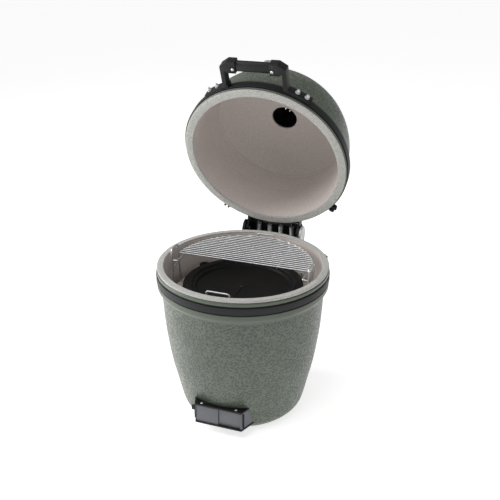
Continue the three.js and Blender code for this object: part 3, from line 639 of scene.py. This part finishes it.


# each edge= colour below is a painted highlight along that finish's edges
finishes = {
    "glazed_shell": glaze(),
    "fired_ceramic": grained("fired_clay", "aca29c", "c6beb9", 260.0, 0.88, 0.10, 0.25, cloud=7.0),
    "felt": felt(),
    "band_paint": grained(
        "charcoal_coat", "141417", "1d1d20", 900.0, 0.50, 0.12, 0.22, 0.0002, detail=2.0,
        edge="3a3a3f", Metallic=0.2, Specular_IOR_Level=0.35),
    "black_paint": grained(
        "satin_black", "09090a", "121213", 1100.0, 0.48, 0.12, 0.25, 0.0002, detail=2.0,
        edge="38393c", edge_amount=0.4, Specular_IOR_Level=0.3),
    "grip_plastic": grained(
        "grip_black", "0c0c0d", "161718", 1500.0, 0.52, 0.10, 0.30, 0.0002, detail=2.0, Specular_IOR_Level=0.3),
    "door_metal": grained(
        "gunmetal", "56575c", "646569", 320.0, 0.40, 0.14, 0.12, 0.0002, stretch=(0.08, 1.0, 2.2),
        edge="94959a", edge_amount=0.4, Metallic=0.35),
    "dark_steel": grained(
        "heat_black", "080809", "121213", 700.0, 0.58, 0.14, 0.25, 0.0003, Specular_IOR_Level=0.3),
    "cast_iron": grained(
        "seasoned_iron", "040404", "0b0b0b", 520.0, 0.50, 0.22, 0.4, 0.0004, detail=5.0, cloud=20.0,
        edge="232222", edge_amount=0.35, Specular_IOR_Level=0.22),
    "steel": grained(
        "bright_steel", "bfc0c1", "d0d1d2", 500.0, 0.30, 0.08, 0.02, 0.0001, stretch=(0.15, 1.0, 1.0),
        Metallic=0.85),
    "cap_metal": grained(
        "satin_alloy", "b4b4b2", "cdcdcb", 600.0, 0.42, 0.14, 0.12, 0.0002, detail=3.0, Metallic=0.45),
}
GLAZE, CLAY, FELT = finishes["glazed_shell"], finishes["fired_ceramic"], finishes["felt"]
COAT, BLACK, GRIP = finishes["band_paint"], finishes["black_paint"], finishes["grip_plastic"]
GUNMETAL, HEAT_BLACK, IRON = finishes["door_metal"], finishes["dark_steel"], finishes["cast_iron"]
STEEL, ALLOY = finishes["steel"], finishes["cap_metal"]

# Every CAD node starts with its slot's finish; those with a finer piece are stood for below.
for part in frame["record"]["subparts"]:
    node = frame["nodes"][part["node"]]
    for slot in node.material_slots:
        slot.material = finishes[part["material_slot"]]


# The pot

WALL = through([
    (178, 8), (193, 24), (203, 48), (219.5, 120), (235, 190), (249, 290), (255, 370), (257.5, 418),
])
pot_profile = [
    (0, 0, 0, -1), (156, 0, 2, -1), (166, 2, 2, 0),
    *[(r, z, 0, min(1, max(0, (z - 20) / 16)) if z < 400 else 1) for r, z in WALL],
    (258.2, 423, 0, 0), (260, 426, 4, 0), (265.4, 429, 5, 0), (271.6, 440, 6, 0), (271.6, 454.5, 1, 0),
    (265.5, 456, 0.6, 0), (265.5, 484, 0.6, 0), (271.6, 485.6, 1, 0), (271.6, 494.5, 2.4, 0), (267, 497.4, 1, 0),
    (260, 497.6, 1, 0), (258, 500, 0.6, 0),
    (249.4, 500, 1.5, -1),
    *bare_clay(through([(247.8, 488), (243, 445), (234, 340), (221, 225), (198, 120), (182, 56)], 4)),
    (165, 32, 12, -1), (146, 22, 12, -1), (0, 22, 0, -1),
]
pot = turned("pot", pot_profile, GLAZE, sides=256, bare=CLAY)
pot = cut(pot, block("vent_mouth", (-60, -400, 46), (60, -100, 94), CLAY))
fitted(pot, "base", "glazed_shell", "base_shell")

pot_felt = turned("pot_felt", [
    (249.6, 500.2, 0.6), (258.4, 500.2, 0.4), (260.4, 497.9, 0.4), (270, 497.9, 1.2), (270.6, 503, 2),
    (268, 504.9, 1.6), (251, 504.9, 1.4), (249.6, 503, 1.4),
], FELT, sides=192, closed=True)
fitted(pot_felt, "base", "felt", "base_gasket")


CLAMP_ANGLES = (-36, 48)  # degrees from the back, towards +X


def clamp_frame(angle, height):
    """The frame of a band's clamp: X along the band, Y outwards and Z up."""
    turn = Matrix.Rotation(-math.radians(angle), 4, "Z")
    return turn @ Matrix.Translation((0, 0, height * MM))


LUG_HEAD = 287.0


def band(name, bottom, top, radius, place):
    """A strap with two folded lugs at each side of the back."""
    strap = turned(name, [
        (270.9, bottom + 1, 0.4), (radius - 0.8, bottom, 0.7), (radius, bottom + 1, 0.7),
        (radius, top - 1, 0.7), (radius - 0.8, top, 0.7), (270.9, top - 1, 0.4),
    ], COAT, sides=256, closed=True)
    parts = [strap]
    middle = (bottom + top) / 2
    for angle in CLAMP_ANGLES:
        for start in (-10.5, 3.5):
            lug = block("lug", (start, 272.5, -9), (start + 7, 296, 9), COAT, bevel=1.6)
            parts.append(at(lug, clamp_frame(angle, middle)))
    return at(joined(name, parts), place)


def clamp_bolts(name, height, place):
    """Hexagon bolts and their nuts through the lugs."""
    head = turned("head", [(0, 10.8), (6, 10.8, 0.4), (6, 14.6, 0.8), (4.6, 15.6, 0.3), (0, 15.8)], BLACK, sides=6)
    nut = turned("nut", [(0, 10.8), (6, 10.8, 0.8), (6, 15.8, 0.8), (3.4, 15.8, 0.2), (0, 15.8)], BLACK, sides=6)
    shank = turned("shank", [(0, -18), (2.6, -18, 0.4), (3, -17), (3, 12), (0, 12)], BLACK, sides=16)
    nut.data.transform(Matrix.Rotation(math.pi, 4, "X"))
    pattern = joined("clamp_pattern", [head, nut, shank])
    points, ways = [], []
    for angle in CLAMP_ANGLES:
        space = clamp_frame(angle, height)
        points.append(space @ Vector((0, LUG_HEAD * MM, 0)) / MM)
        ways.append(space.to_3x3() @ Vector((1, 0, 0)))
    return at(in_place(name, pattern, points, ways, BLACK), place)


pot_band = band("pot_band", 460, 481, 273.4, HERE)
fitted(pot_band, "base", "band_paint", "base_band")
pot_bolts = clamp_bolts("pot_clamp_bolts", 470.5, HERE)
fitted(pot_bolts, "base", "black_paint", "base_clamp_bolt_left", "base_clamp_bolt_right")


# The fire inside the pot

fire_foot = turned("fire_foot", [
    (0, 22.3), (118, 22.3, 3), (144, 56, 20), (162.4, 105.9, 1), (120, 105.9, 1.5), (115, 88, 4),
    (104, 42, 8), (0, 42),
], CLAY, sides=96)
fire_foot = cut(fire_foot, block("ash_mouth", (-48, -300, 50), (48, -60, 90), CLAY))
fitted(fire_foot, "base", "fired_ceramic", "fire_box_foot")

fire_box = turned("fire_bowl", [
    (147.2, 106.4, 1), (162.8, 106.4, 1), *through([(163.4, 108), (186, 185), (203.6, 259)], 4),
    (202, 262, 2), (186, 262, 3), *through([(184, 259), (168, 190), (151, 128)], 4),
], CLAY, sides=128, closed=True)
sideways = Matrix.Rotation(math.pi / 2, 4, "Y")
air_hole = turned("air_hole", plug(9, -50, 50), CLAY, sides=20, place=sideways)
air_holes = ring_row("air_holes", air_hole, 8, 185, CLAY, first=22.5, place=Matrix.Translation((0, 0, 0.19)))
fire_box = cut(fire_box, air_holes)
fitted(fire_box, "base", "fired_ceramic", "fire_box")

fire_ring = turned("fire_ring", [
    (198.4, 262.4, 1), (216, 262.4, 2), *through([(218, 275), (226, 330), (229, 390)], 4), (229, 395, 2.5),
    (205, 395, 2.5), *through([(204.5, 385), (201, 330)], 4),
], CLAY, sides=160, closed=True)
notches = []
for angle in (90, 210, 330):
    spot = round_axis(217, angle, 0)
    near, far = (spot.x - 22, spot.y - 22, 381), (spot.x + 22, spot.y + 22, 400)
    notches.append(block("notch", near, far, CLAY, bevel=3))
fire_ring = cut(fire_ring, *notches)
fitted(fire_ring, "base", "fired_ceramic", "fire_ring")

fitted(eased("coal_grate", "charcoal_grate", IRON, 0.7), "base", "cast_iron", "charcoal_grate")


# The pan and its wire basket

pan = turned("pan_plate", [
    (0, 413), (147, 413, 3), (158, 416, 4), (164, 427.5, 1.5), (191.6, 427.5, 2.4), (192, 433.2, 2.4),
    (172, 433.2, 1.5), (167.5, 436.4, 1.8), (164, 434, 1.5), (160, 430, 2), (151.5, 428.4, 1.2),
    (147.5, 421.2, 2.5), (11, 421, 2), (8.5, 424, 1), (0, 424.2),
], IRON, sides=192)
lug = turned("pan_lug", [(4.5, 427.6, 1), (16.8, 427.6, 1.8), (16.8, 432.8, 1.8), (4.5, 432.8, 1)], IRON,
             sides=48, closed=True, place=Matrix.Translation(round_axis(194, -118, 0) * MM))
rib = block("rib", (-1.6, -146.5, 420), (1.6, -6, 423.2), IRON, bevel=0.9)
fitted(joined("pan_plate", [pan, lug, rib]), "pan", "cast_iron", "pan")

WIRE_RADIUS = 3
BASKET_RADIUS, LEG_RADIUS = 186, 214
BASKET_Z = high("basket_frame").z / MM - WIRE_RADIUS
LEG_FOOT = low("basket_frame").z / MM + WIRE_RADIUS
ring = [tuple(round_axis(BASKET_RADIUS, 5 * i, BASKET_Z)) for i in range(72)]
leg_corners = [(BASKET_RADIUS, BASKET_Z), (LEG_RADIUS, BASKET_Z), (LEG_RADIUS, LEG_FOOT)]
legs = [[tuple(round_axis(radius, angle, z)) for radius, z in leg_corners] for angle in (45, 135, 225, 315)]
basket = wires("basket_ring", legs, STEEL, bend=7, loops=[ring])
fitted(basket, "basket", "steel", "basket_frame")


def handle_path(half, root, out, top):
    """A lifting handle: out from the ring, up, across and back."""
    bend = out - math.copysign(12, out)
    right = [(half, root, BASKET_Z), (half, bend, BASKET_Z), (half, out, BASKET_Z + 12), (half, out, top)]
    return [*right, *[(-x, y, z) for x, y, z in reversed(right)]]


for side, half, root in (("front", 36, -187), ("back", 29, 188)):
    node = "basket_handle_" + side
    reach = low(node).y / MM + WIRE_RADIUS if side == "front" else high(node).y / MM - WIRE_RADIUS
    path = handle_path(half, root, reach, high(node).z / MM - WIRE_RADIUS)
    fitted(wires(node + "_wire", [path], STEEL), "basket", "steel", node)


# The rack and the half grid

LEDGE_Z = centre("rack_ledge").z / MM
LEDGE_RADIUS = 207
HOOP_TOP = high("rack_hoop_left").z / MM - WIRE_RADIUS
HOOP_FOOT = low("rack_hoop_left").z / MM + 2.6


def half_moon(radius, z, angles):
    """Points on the back half of a circle about Z, at angles in degrees from +X."""
    return [(radius * math.cos(math.radians(a)), radius * math.sin(math.radians(a)), z) for a in angles]


ledge_paths = [half_moon(LEDGE_RADIUS, LEDGE_Z, range(0, 181, 5))]
for side, name in ((-1, "left"), (1, "right")):
    step = [(221.4, -44), (LEDGE_RADIUS, -42), (LEDGE_RADIUS, 4)]
    ledge_paths.append([(side * x, y, LEDGE_Z) for x, y in step])
    hoop_corners = [(221, 8, HOOP_FOOT), (229, 8, HOOP_TOP), (226, -44, HOOP_TOP), (222, -44, HOOP_FOOT)]
    rung = [(225.3, 8, 470), (224, -44, 470)]
    hoop_paths = [[(side * x, y, z) for x, y, z in path] for path in (hoop_corners, rung)]
    hoop_wire = wires("rack_hoop_wire_" + name, hoop_paths, STEEL, bend=10)
    fitted(hoop_wire, "rack", "steel", "rack_hoop_" + name)
fitted(wires("rack_ledge_wire", ledge_paths, STEEL, bend=6), "rack", "steel", "rack_ledge")

GRID_Z = 503.6
GRID_FRONT = 3
cross_rods = [[(x, GRID_FRONT, GRID_Z - 4.6), (x, 187, GRID_Z - 4.6)] for x in (-110, 110)]
grid_bend = half_moon(217.5, GRID_Z - 2.2, range(1, 180, 4))
grid_frame = wires("grid_frame", [grid_bend, *cross_rods], STEEL, thickness=5.2, bend=1)
ROD_COUNT, ROD_PITCH = 16, 0.014
grid = grown("cooking_grid", grid_frame.data.copy(), RODS, count=ROD_COUNT, pitch=ROD_PITCH, front=GRID_FRONT * MM,
             height=GRID_Z * MM, radius=0.2205, rod=0.0024, finish=STEEL)
gone(grid_frame)
fitted(grid, "grid", "steel", "half_grid")


# The draft door

fitted(eased("door_foot_rail", "door_bottom_rail", BLACK, 0.8), "base", "black_paint", "door_bottom_rail")
fitted(eased("door_head_rail", "door_top_rail", BLACK, 0.8), "base", "black_paint", "door_top_rail")
for name in ("left", "right"):
    node = "door_side_" + name
    fitted(eased("door_cheek_" + name, node, GUNMETAL, 0.4), "base", "door_metal", node)
    node = "door_panel_" + name
    fitted(eased("door_plate_" + name, node, GUNMETAL, 0.5), node, "door_metal", node)
fitted(eased("ember_guard", "ember_screen", HEAT_BLACK, 0.3), "ember_screen", "dark_steel", "ember_screen")


def pan_head(name, radius, height):
    """A screw head with a domed top and a cross cut into it."""
    ease = radius * 0.3
    head = turned(name, [
        (0, 0), (radius, 0, 0.3), (radius, height * 0.45, ease), (radius * 0.7, height * 0.9, ease), (0, height),
    ], STEEL, sides=32)
    arm, width, depth = radius * 0.55, 0.35, height * 0.55
    slots = [block("slot", (-x, -y, depth), (x, y, height + 2), STEEL) for x, y in ((arm, width), (width, arm))]
    return cut(head, *slots)


SCREW_SEAT = high("door_screw_left").z / MM - 2.5
screw_spots = [(*centre("door_screw_" + side).xy / MM, SCREW_SEAT) for side in ("left", "right")]
door_screws = in_place("door_screws", pan_head("door_screw", 4.6, 2.6), screw_spots, [(0, 0, 1)] * 2, STEEL)
fitted(door_screws, "base", "steel", "door_screw_left", "door_screw_right")


# The hinge

fitted(eased("hinge_cradle", "hinge_bracket", BLACK, 1.0), "base", "black_paint", "hinge_bracket")
fitted(eased("hinge_back_plate", "hinge_cover", BLACK, 1.0), "base", "black_paint", "hinge_cover")
fitted(eased("lid_hinge_arms", "lid_hinge_bracket", BLACK, 1.0), "lid", "black_paint", "lid_hinge_bracket")


def cross_bar(name, node):
    """A bar across the hinge, with chamfered ends and a clip groove near each."""
    half = high(node).x / MM
    middle = centre(node) / MM
    radius = (high("lower_spring_bar").z - low("lower_spring_bar").z) / MM / 2
    profile = [(0, -half), (radius - 1, -half, 0.2), (radius, -half + 1, 0.3)]
    for end in (-1, 1):
        edge = end * (half - 2.2)
        floor = radius - 0.9
        profile += [(radius, edge - 0.5), (floor, edge - 0.4), (floor, edge + 0.4), (radius, edge + 0.5)]
    profile += [(radius, half - 1, 0.3), (radius - 1, half, 0.2), (0, half)]
    return turned(name, profile, BLACK, sides=32, place=standing((0, middle.y, middle.z), (1, 0, 0)))


fitted(cross_bar("foot_bar", "lower_spring_bar"), "base", "black_paint", "lower_spring_bar")
fitted(cross_bar("head_bar", "upper_spring_bar"), "lid", "black_paint", "upper_spring_bar")

for side, name in ((-1, "left"), (1, "right")):
    node = "hinge_cap_" + name
    outer = abs(high(node).x if side > 0 else low(node).x) / MM
    inner = abs(low(node).x if side > 0 else high(node).x) / MM
    disc = turned("hinge_disc_" + name, [
        (0, inner), (29.6, inner, 0.4), (30, outer - 1.8, 0.8), (26, outer - 0.2, 1.2), (20, outer - 0.2, 0.6),
        (19, outer - 1, 0.6), (9.4, outer - 1, 0.4), (9, outer, 0.6), (0, outer),
    ], ALLOY, sides=96, place=standing((0, PIVOT.y / MM, PIVOT.z / MM), (side, 0, 0)))
    fitted(disc, "base", "cap_metal", node)

foot = centre("lower_spring_bar") / MM
head = centre("upper_spring_bar") / MM
reach = (head - foot).length
EYE = 6.1  # radius of the eye that hooks round a bar
COIL_RADIUS = 7.4
for i in range(4):
    node = "spring_" + str(i + 1)
    across = centre(node).x / MM
    eyes = []
    for start, up in ((0, 1), (reach, -1)):
        turn = [math.radians(24 * k - 150) for k in range(14)]
        loop = [(0, EYE * math.sin(a), start - up * EYE * math.cos(a)) for a in turn]
        throat = [(COIL_RADIUS, 0, start + up * 9), (3.5, 0.5, start + up * 8.6), (0, 2.5, start + up * 7.4)]
        eyes.append([*throat, *loop[1:]])
    hooks = wires("hooks", eyes, STEEL, thickness=2.0, bend=0.6)
    coil = grown("coil_spring_" + str(i + 1), hooks.data.copy(), COIL, turns=38.0, radius=COIL_RADIUS * MM,
                 rise=8.2 * MM, height=(reach - 16.4) * MM, thickness=0.002, finish=STEEL)
    gone(hooks)
    at(coil, standing((across, foot.y, foot.z), head - foot))
    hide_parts(node)
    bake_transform(coil)


# The lid

DOME_OUTER = through([
    (265, 61), (258.5, 100), (251, 137.5), (238, 173), (218, 209), (190, 240), (150, 264), (105, 279),
    (66, 286),
])
DOME_INNER = through([(43.7, 238), (70, 237), (100, 234), (160, 220), (192, 205), (216.5, 186)], 4)
lid_profile = [
    (269.4, 5.2, 1, 0), (272.8, 8, 2.2, 0), (272.8, 9.6, 0.8, 0), (266, 11.4, 0.6, 0), (266, 41, 0.6, 0),
    (271.6, 43, 1.2, 0), (272, 49, 5, 0), (268, 56.5, 4, 0),
    *[(r, h, 0, min(1, max(0, (h - 60) / 8))) for r, h in DOME_OUTER],
    (61, 288, 3, 0), (60, 292, 1, 0), (60, 305, 1.5, 0), (45, 305.8, 1, 0), (43.7, 304, 0.5, -1),
    *bare_clay(DOME_INNER[:-1]), (214.6, 187.4, 0.6, -1), (213.6, 184.6, 1.4, -1), (217.4, 182.6, 0.6, -1),
    (232, 130, 30, -1), (240, 60, 30, -1), (244, 5.2, 1.5, -1),
]
dome = turned("dome", lid_profile, GLAZE, sides=256, closed=True, bare=CLAY)
stem_tip, stem_root = Vector((0, -136.5, 137.5)), Vector((0, -233, 184))
stem_way = (stem_root - stem_tip).normalized()
bore = turned("bore", plug(3.6, -70, 40), CLAY, sides=24, place=standing(stem_root, stem_way))
dome = at(cut(dome, bore), OPENED)
fitted(dome, "lid", "glazed_shell", "lid_shell")

lid_felt = hoop("lid_felt", 244.2, 270, 0.2, 4.9, 2.0, FELT, sides=192, place=OPENED)
fitted(lid_felt, "lid", "felt", "lid_gasket")
lid_strap = band("lid_strap", 12, 38, 276, OPENED)
fitted(lid_strap, "lid", "band_paint", "lid_band")
lid_bolts = clamp_bolts("lid_clamp_bolts", 25, OPENED)
fitted(lid_bolts, "lid", "black_paint", "lid_clamp_bolt_left", "lid_clamp_bolt_right")


# The handle

for name in ("left", "right"):
    node = "handle_bracket_" + name
    fitted(eased("handle_arm_" + name, node, BLACK, 1.6), "lid", "black_paint", node)
grip = eased("grip", "handle_grip", GRIP, 2.2, angle=20)
fitted(grip, "lid", "grip_plastic", "handle_grip")

hexagon = turned("hexagon", [(0, 0), (7, 0, 0.4), (7, 5.2, 1.0), (5.8, 6, 0.3), (0, 6)], STEEL, sides=6)
cap = turned("cap", [
    (0, 5.5), (5.7, 5.5), (5.7, 7, 1), *through([(5.5, 8), (4.4, 10), (2.4, 11.2), (0, 11.6)], 3),
], STEEL, sides=32)
washer = turned("washer", [(0, -0.3), (8.2, -0.3, 0.3), (8.2, 0.9, 0.5), (0, 0.9)], STEEL, sides=32)
acorn = joined("acorn", [washer, hexagon, cap])
points, ways = [], []
for angle in (-33.3, -26.9, 26.9, 33.3):
    points.append(round_axis(284.3, angle, 29))
    ways.append(round_axis(1, angle, 0))
acorns = at(in_place("acorn_bolts", acorn, points, ways, STEEL), OPENED)
acorn_nodes = ["acorn_bolt_" + side + number for side in ("left", "right") for number in ("_1", "_2")]
fitted(acorns, "lid", "steel", *acorn_nodes)

grip_screw_spots = [(-61.5, -328, 13.7), (61.5, -328, 13.7)]
grip_screws = in_place("grip_screws", pan_head("grip_screw", 4.8, 4.2), grip_screw_spots, [(0, 0, -1)] * 2, STEEL)
fitted(at(grip_screws, OPENED), "lid", "steel", "handle_screw_left", "handle_screw_right")


# The thermometer

stem = turned("probe", [
    (0, 0), (0.8, 1), (2.2, 7, 2), (2.2, 112), (0, 112),
], HEAT_BLACK, sides=24, place=OPENED @ standing(stem_tip, stem_way))
fitted(stem, "lid", "dark_steel", "thermometer_stem")
case = turned("thermometer_case", [
    (0, 6), (12, 6, 1), (24, 8, 3), (27, 11, 2), (27, 18.5, 1.2), (25.4, 20, 0.8), (23.6, 19.2, 0.4),
    (23.4, 17, 0.2), (0, 17),
], STEEL, sides=96)
tick = block("tick", (18.4, -0.35, 17.0), (22, 0.35, 17.25), BLACK)
ticks = ring_row("ticks", tick, 24, 0, BLACK)
face = turned("face", plug(23.2, 17.05, 17.15), ALLOY, sides=64)
needle_turn = Matrix.Rotation(math.radians(130), 4, "Z")
needle = block("needle", (-1, -3, 17.4), (1, 17, 18.0), BLACK, bevel=0.2, place=needle_turn)
hub = turned("hub", [(0, 17.2), (3, 17.2), (3, 18.6, 0.8), (0, 18.8)], BLACK, sides=32)
dial = joined("thermometer_dial_face", [case, face, ticks, needle, hub])
fitted(at(dial, OPENED @ standing(stem_root, stem_way)), "lid", "steel", "thermometer_dial")


# The chimney top

SWING = Matrix.Translation((0, 0.066, 0))  # from the chimney's axis to the cap's pivot
collar = turned("chimney_collar", [
    (44, 306.4, 0.5), (60.6, 306.4, 0.3), (60.6, 294.2, 0.8), (65, 292.2, 1.5), (68.8, 296, 1.5),
    (68.8, 309.6, 3), (62, 313.6, 1), (44, 313.6, 1),
], IRON, sides=128, closed=True)
boss = turned("boss", plug(11.6, 300.2, 313.6, 1.2), IRON, sides=48, place=SWING)
fitted(at(joined("chimney_collar", [collar, boss]), OPENED), "lid", "cast_iron", "vent_ring")
liner = hoop("chimney_sleeve", 41.2, 43.0, 242.2, 313.8, 0.5, IRON, sides=96, place=OPENED)
fitted(liner, "lid", "cast_iron", "chimney_liner")

pivot_screw = turned("swing_screw", [
    (0, 302), (3.3, 302), (3.3, 323.2), (6, 323.2, 0.4), (6, 326.4, 1), (4, 327.8, 0.8), (1.4, 327.8),
    (1.4, 326.6), (0, 326.6),
], STEEL, sides=32, place=OPENED @ SWING)
fitted(pivot_screw, "lid", "steel", "vent_pin")


PETALS, PETAL_RADIUS, PETAL_CIRCLE = 6, 10, 32


def petal_row(first):
    """Round cutters in a ring, the first one at an angle in degrees from +X."""
    petal = turned("petal", plug(PETAL_RADIUS, 300, 360), IRON, sides=32)
    return ring_row("petals", petal, PETALS, PETAL_CIRCLE, IRON, first=first)


plate = turned("chimney_plate", [
    (0, 314.3), (66, 314.3, 0.8), (66.8, 317, 1.5), (60, 321.8, 2), (53, 321.8, 0.5), (52.4, 321.2, 0.4),
    (0, 321.2),
], IRON, sides=128)
plate = cut(plate, petal_row(-90), turned("hub_room", plug(4.5, 300, 400), IRON, sides=24))
ear = turned("ear", [
    (3.9, 314.4, 0.5), (11.8, 314.4, 1.2), (11.8, 321.8, 1.2), (3.9, 321.8, 0.5),
], IRON, sides=48, closed=True, place=SWING)
fitted(at(joined("chimney_plate", [plate, ear]), OPENED), "vent_cap", "cast_iron", "vent_cap")

shutter = turned("draught_dial", [
    (0, 322.4), (49.8, 322.4, 0.8), (49.8, 325.6, 1.2), (44, 326.6, 2), (13, 328.6, 2), (0, 328.8),
], IRON, sides=128)
shutter = cut(shutter, petal_row(-60))
knob = turned("knob", [
    (0, 316.2), (3.9, 316.2, 0.5), (3.9, 328), (9, 328.4, 1), (7.4, 333, 3), (9.4, 340, 3), (11.8, 344, 3),
    (10, 347.8, 2), (0, 348),
], IRON, sides=64)
fitted(at(joined("draught_dial", [shutter, knob]), OPENED), "vent_dial", "cast_iron", "vent_dial")


# Floor, light and camera

FLOOR_REACH = 60  # metres
floor_corners = [(x * FLOOR_REACH, y * FLOOR_REACH, 0) for x, y in ((-1, -1), (1, -1), (1, 1), (-1, 1))]
floor_mesh = bpy.data.meshes.new("studio_floor")
floor_mesh.from_pydata(floor_corners, [], [(0, 1, 2, 3)])
studio_floor = bpy.data.objects.new("studio_floor", floor_mesh)
scene.collection.objects.link(studio_floor)
floor_mesh.materials.append(grained("pale_floor", "eeeeee", "f2f2f2", 30.0, 0.9, 0.05, 0.0,
                                    Emission_Color=(1, 1, 1, 1), Emission_Strength=0.64))

sky = bpy.data.worlds.new("studio")
scene.world = sky
sky.use_nodes = True
sky.node_tree.nodes["Background"].inputs["Color"].default_value = (1, 1, 1, 1)
sky.node_tree.nodes["Background"].inputs["Strength"].default_value = 0.36


def softbox(name, place, aim, width, depth, power):
    lamp = bpy.data.lights.new(name, "AREA")
    lamp.shape = "RECTANGLE"
    lamp.size, lamp.size_y, lamp.energy = width, depth, power
    box = bpy.data.objects.new(name, lamp)
    box.location = place
    box.rotation_mode = "QUATERNION"
    box.rotation_quaternion = (Vector(place) - Vector(aim)).to_track_quat("Z", "Y")
    scene.collection.objects.link(box)


softbox("left_softbox", (-2.7, -0.5, 1.7), (0, 0, 0.4), 1.4, 2.4, 78)
softbox("top_softbox", (-0.4, -1.0, 3.0), (0, 0, 0.4), 2.0, 2.0, 34)
softbox("right_softbox", (2.6, -1.6, 1.4), (0, 0, 0.4), 1.2, 2.0, 10)

scene.view_settings.view_transform = "Standard"
scene.view_settings.look = "None"

eye = bpy.data.cameras.new("camera")
eye.sensor_width, eye.lens = 36, 55.3
eye.clip_end = 200
camera = bpy.data.objects.new("camera", eye)
turn, tilt, away = math.radians(19.72), math.radians(23.63), 2.418
back = Vector((math.sin(turn) * math.cos(tilt), -math.cos(turn) * math.cos(tilt), math.sin(tilt)))
camera.location = Vector((0.016, 0.021, RIM + 0.034)) + back * away
camera.rotation_mode = "QUATERNION"
camera.rotation_quaternion = back.to_track_quat("Z", "Y")
scene.collection.objects.link(camera)
scene.camera = camera
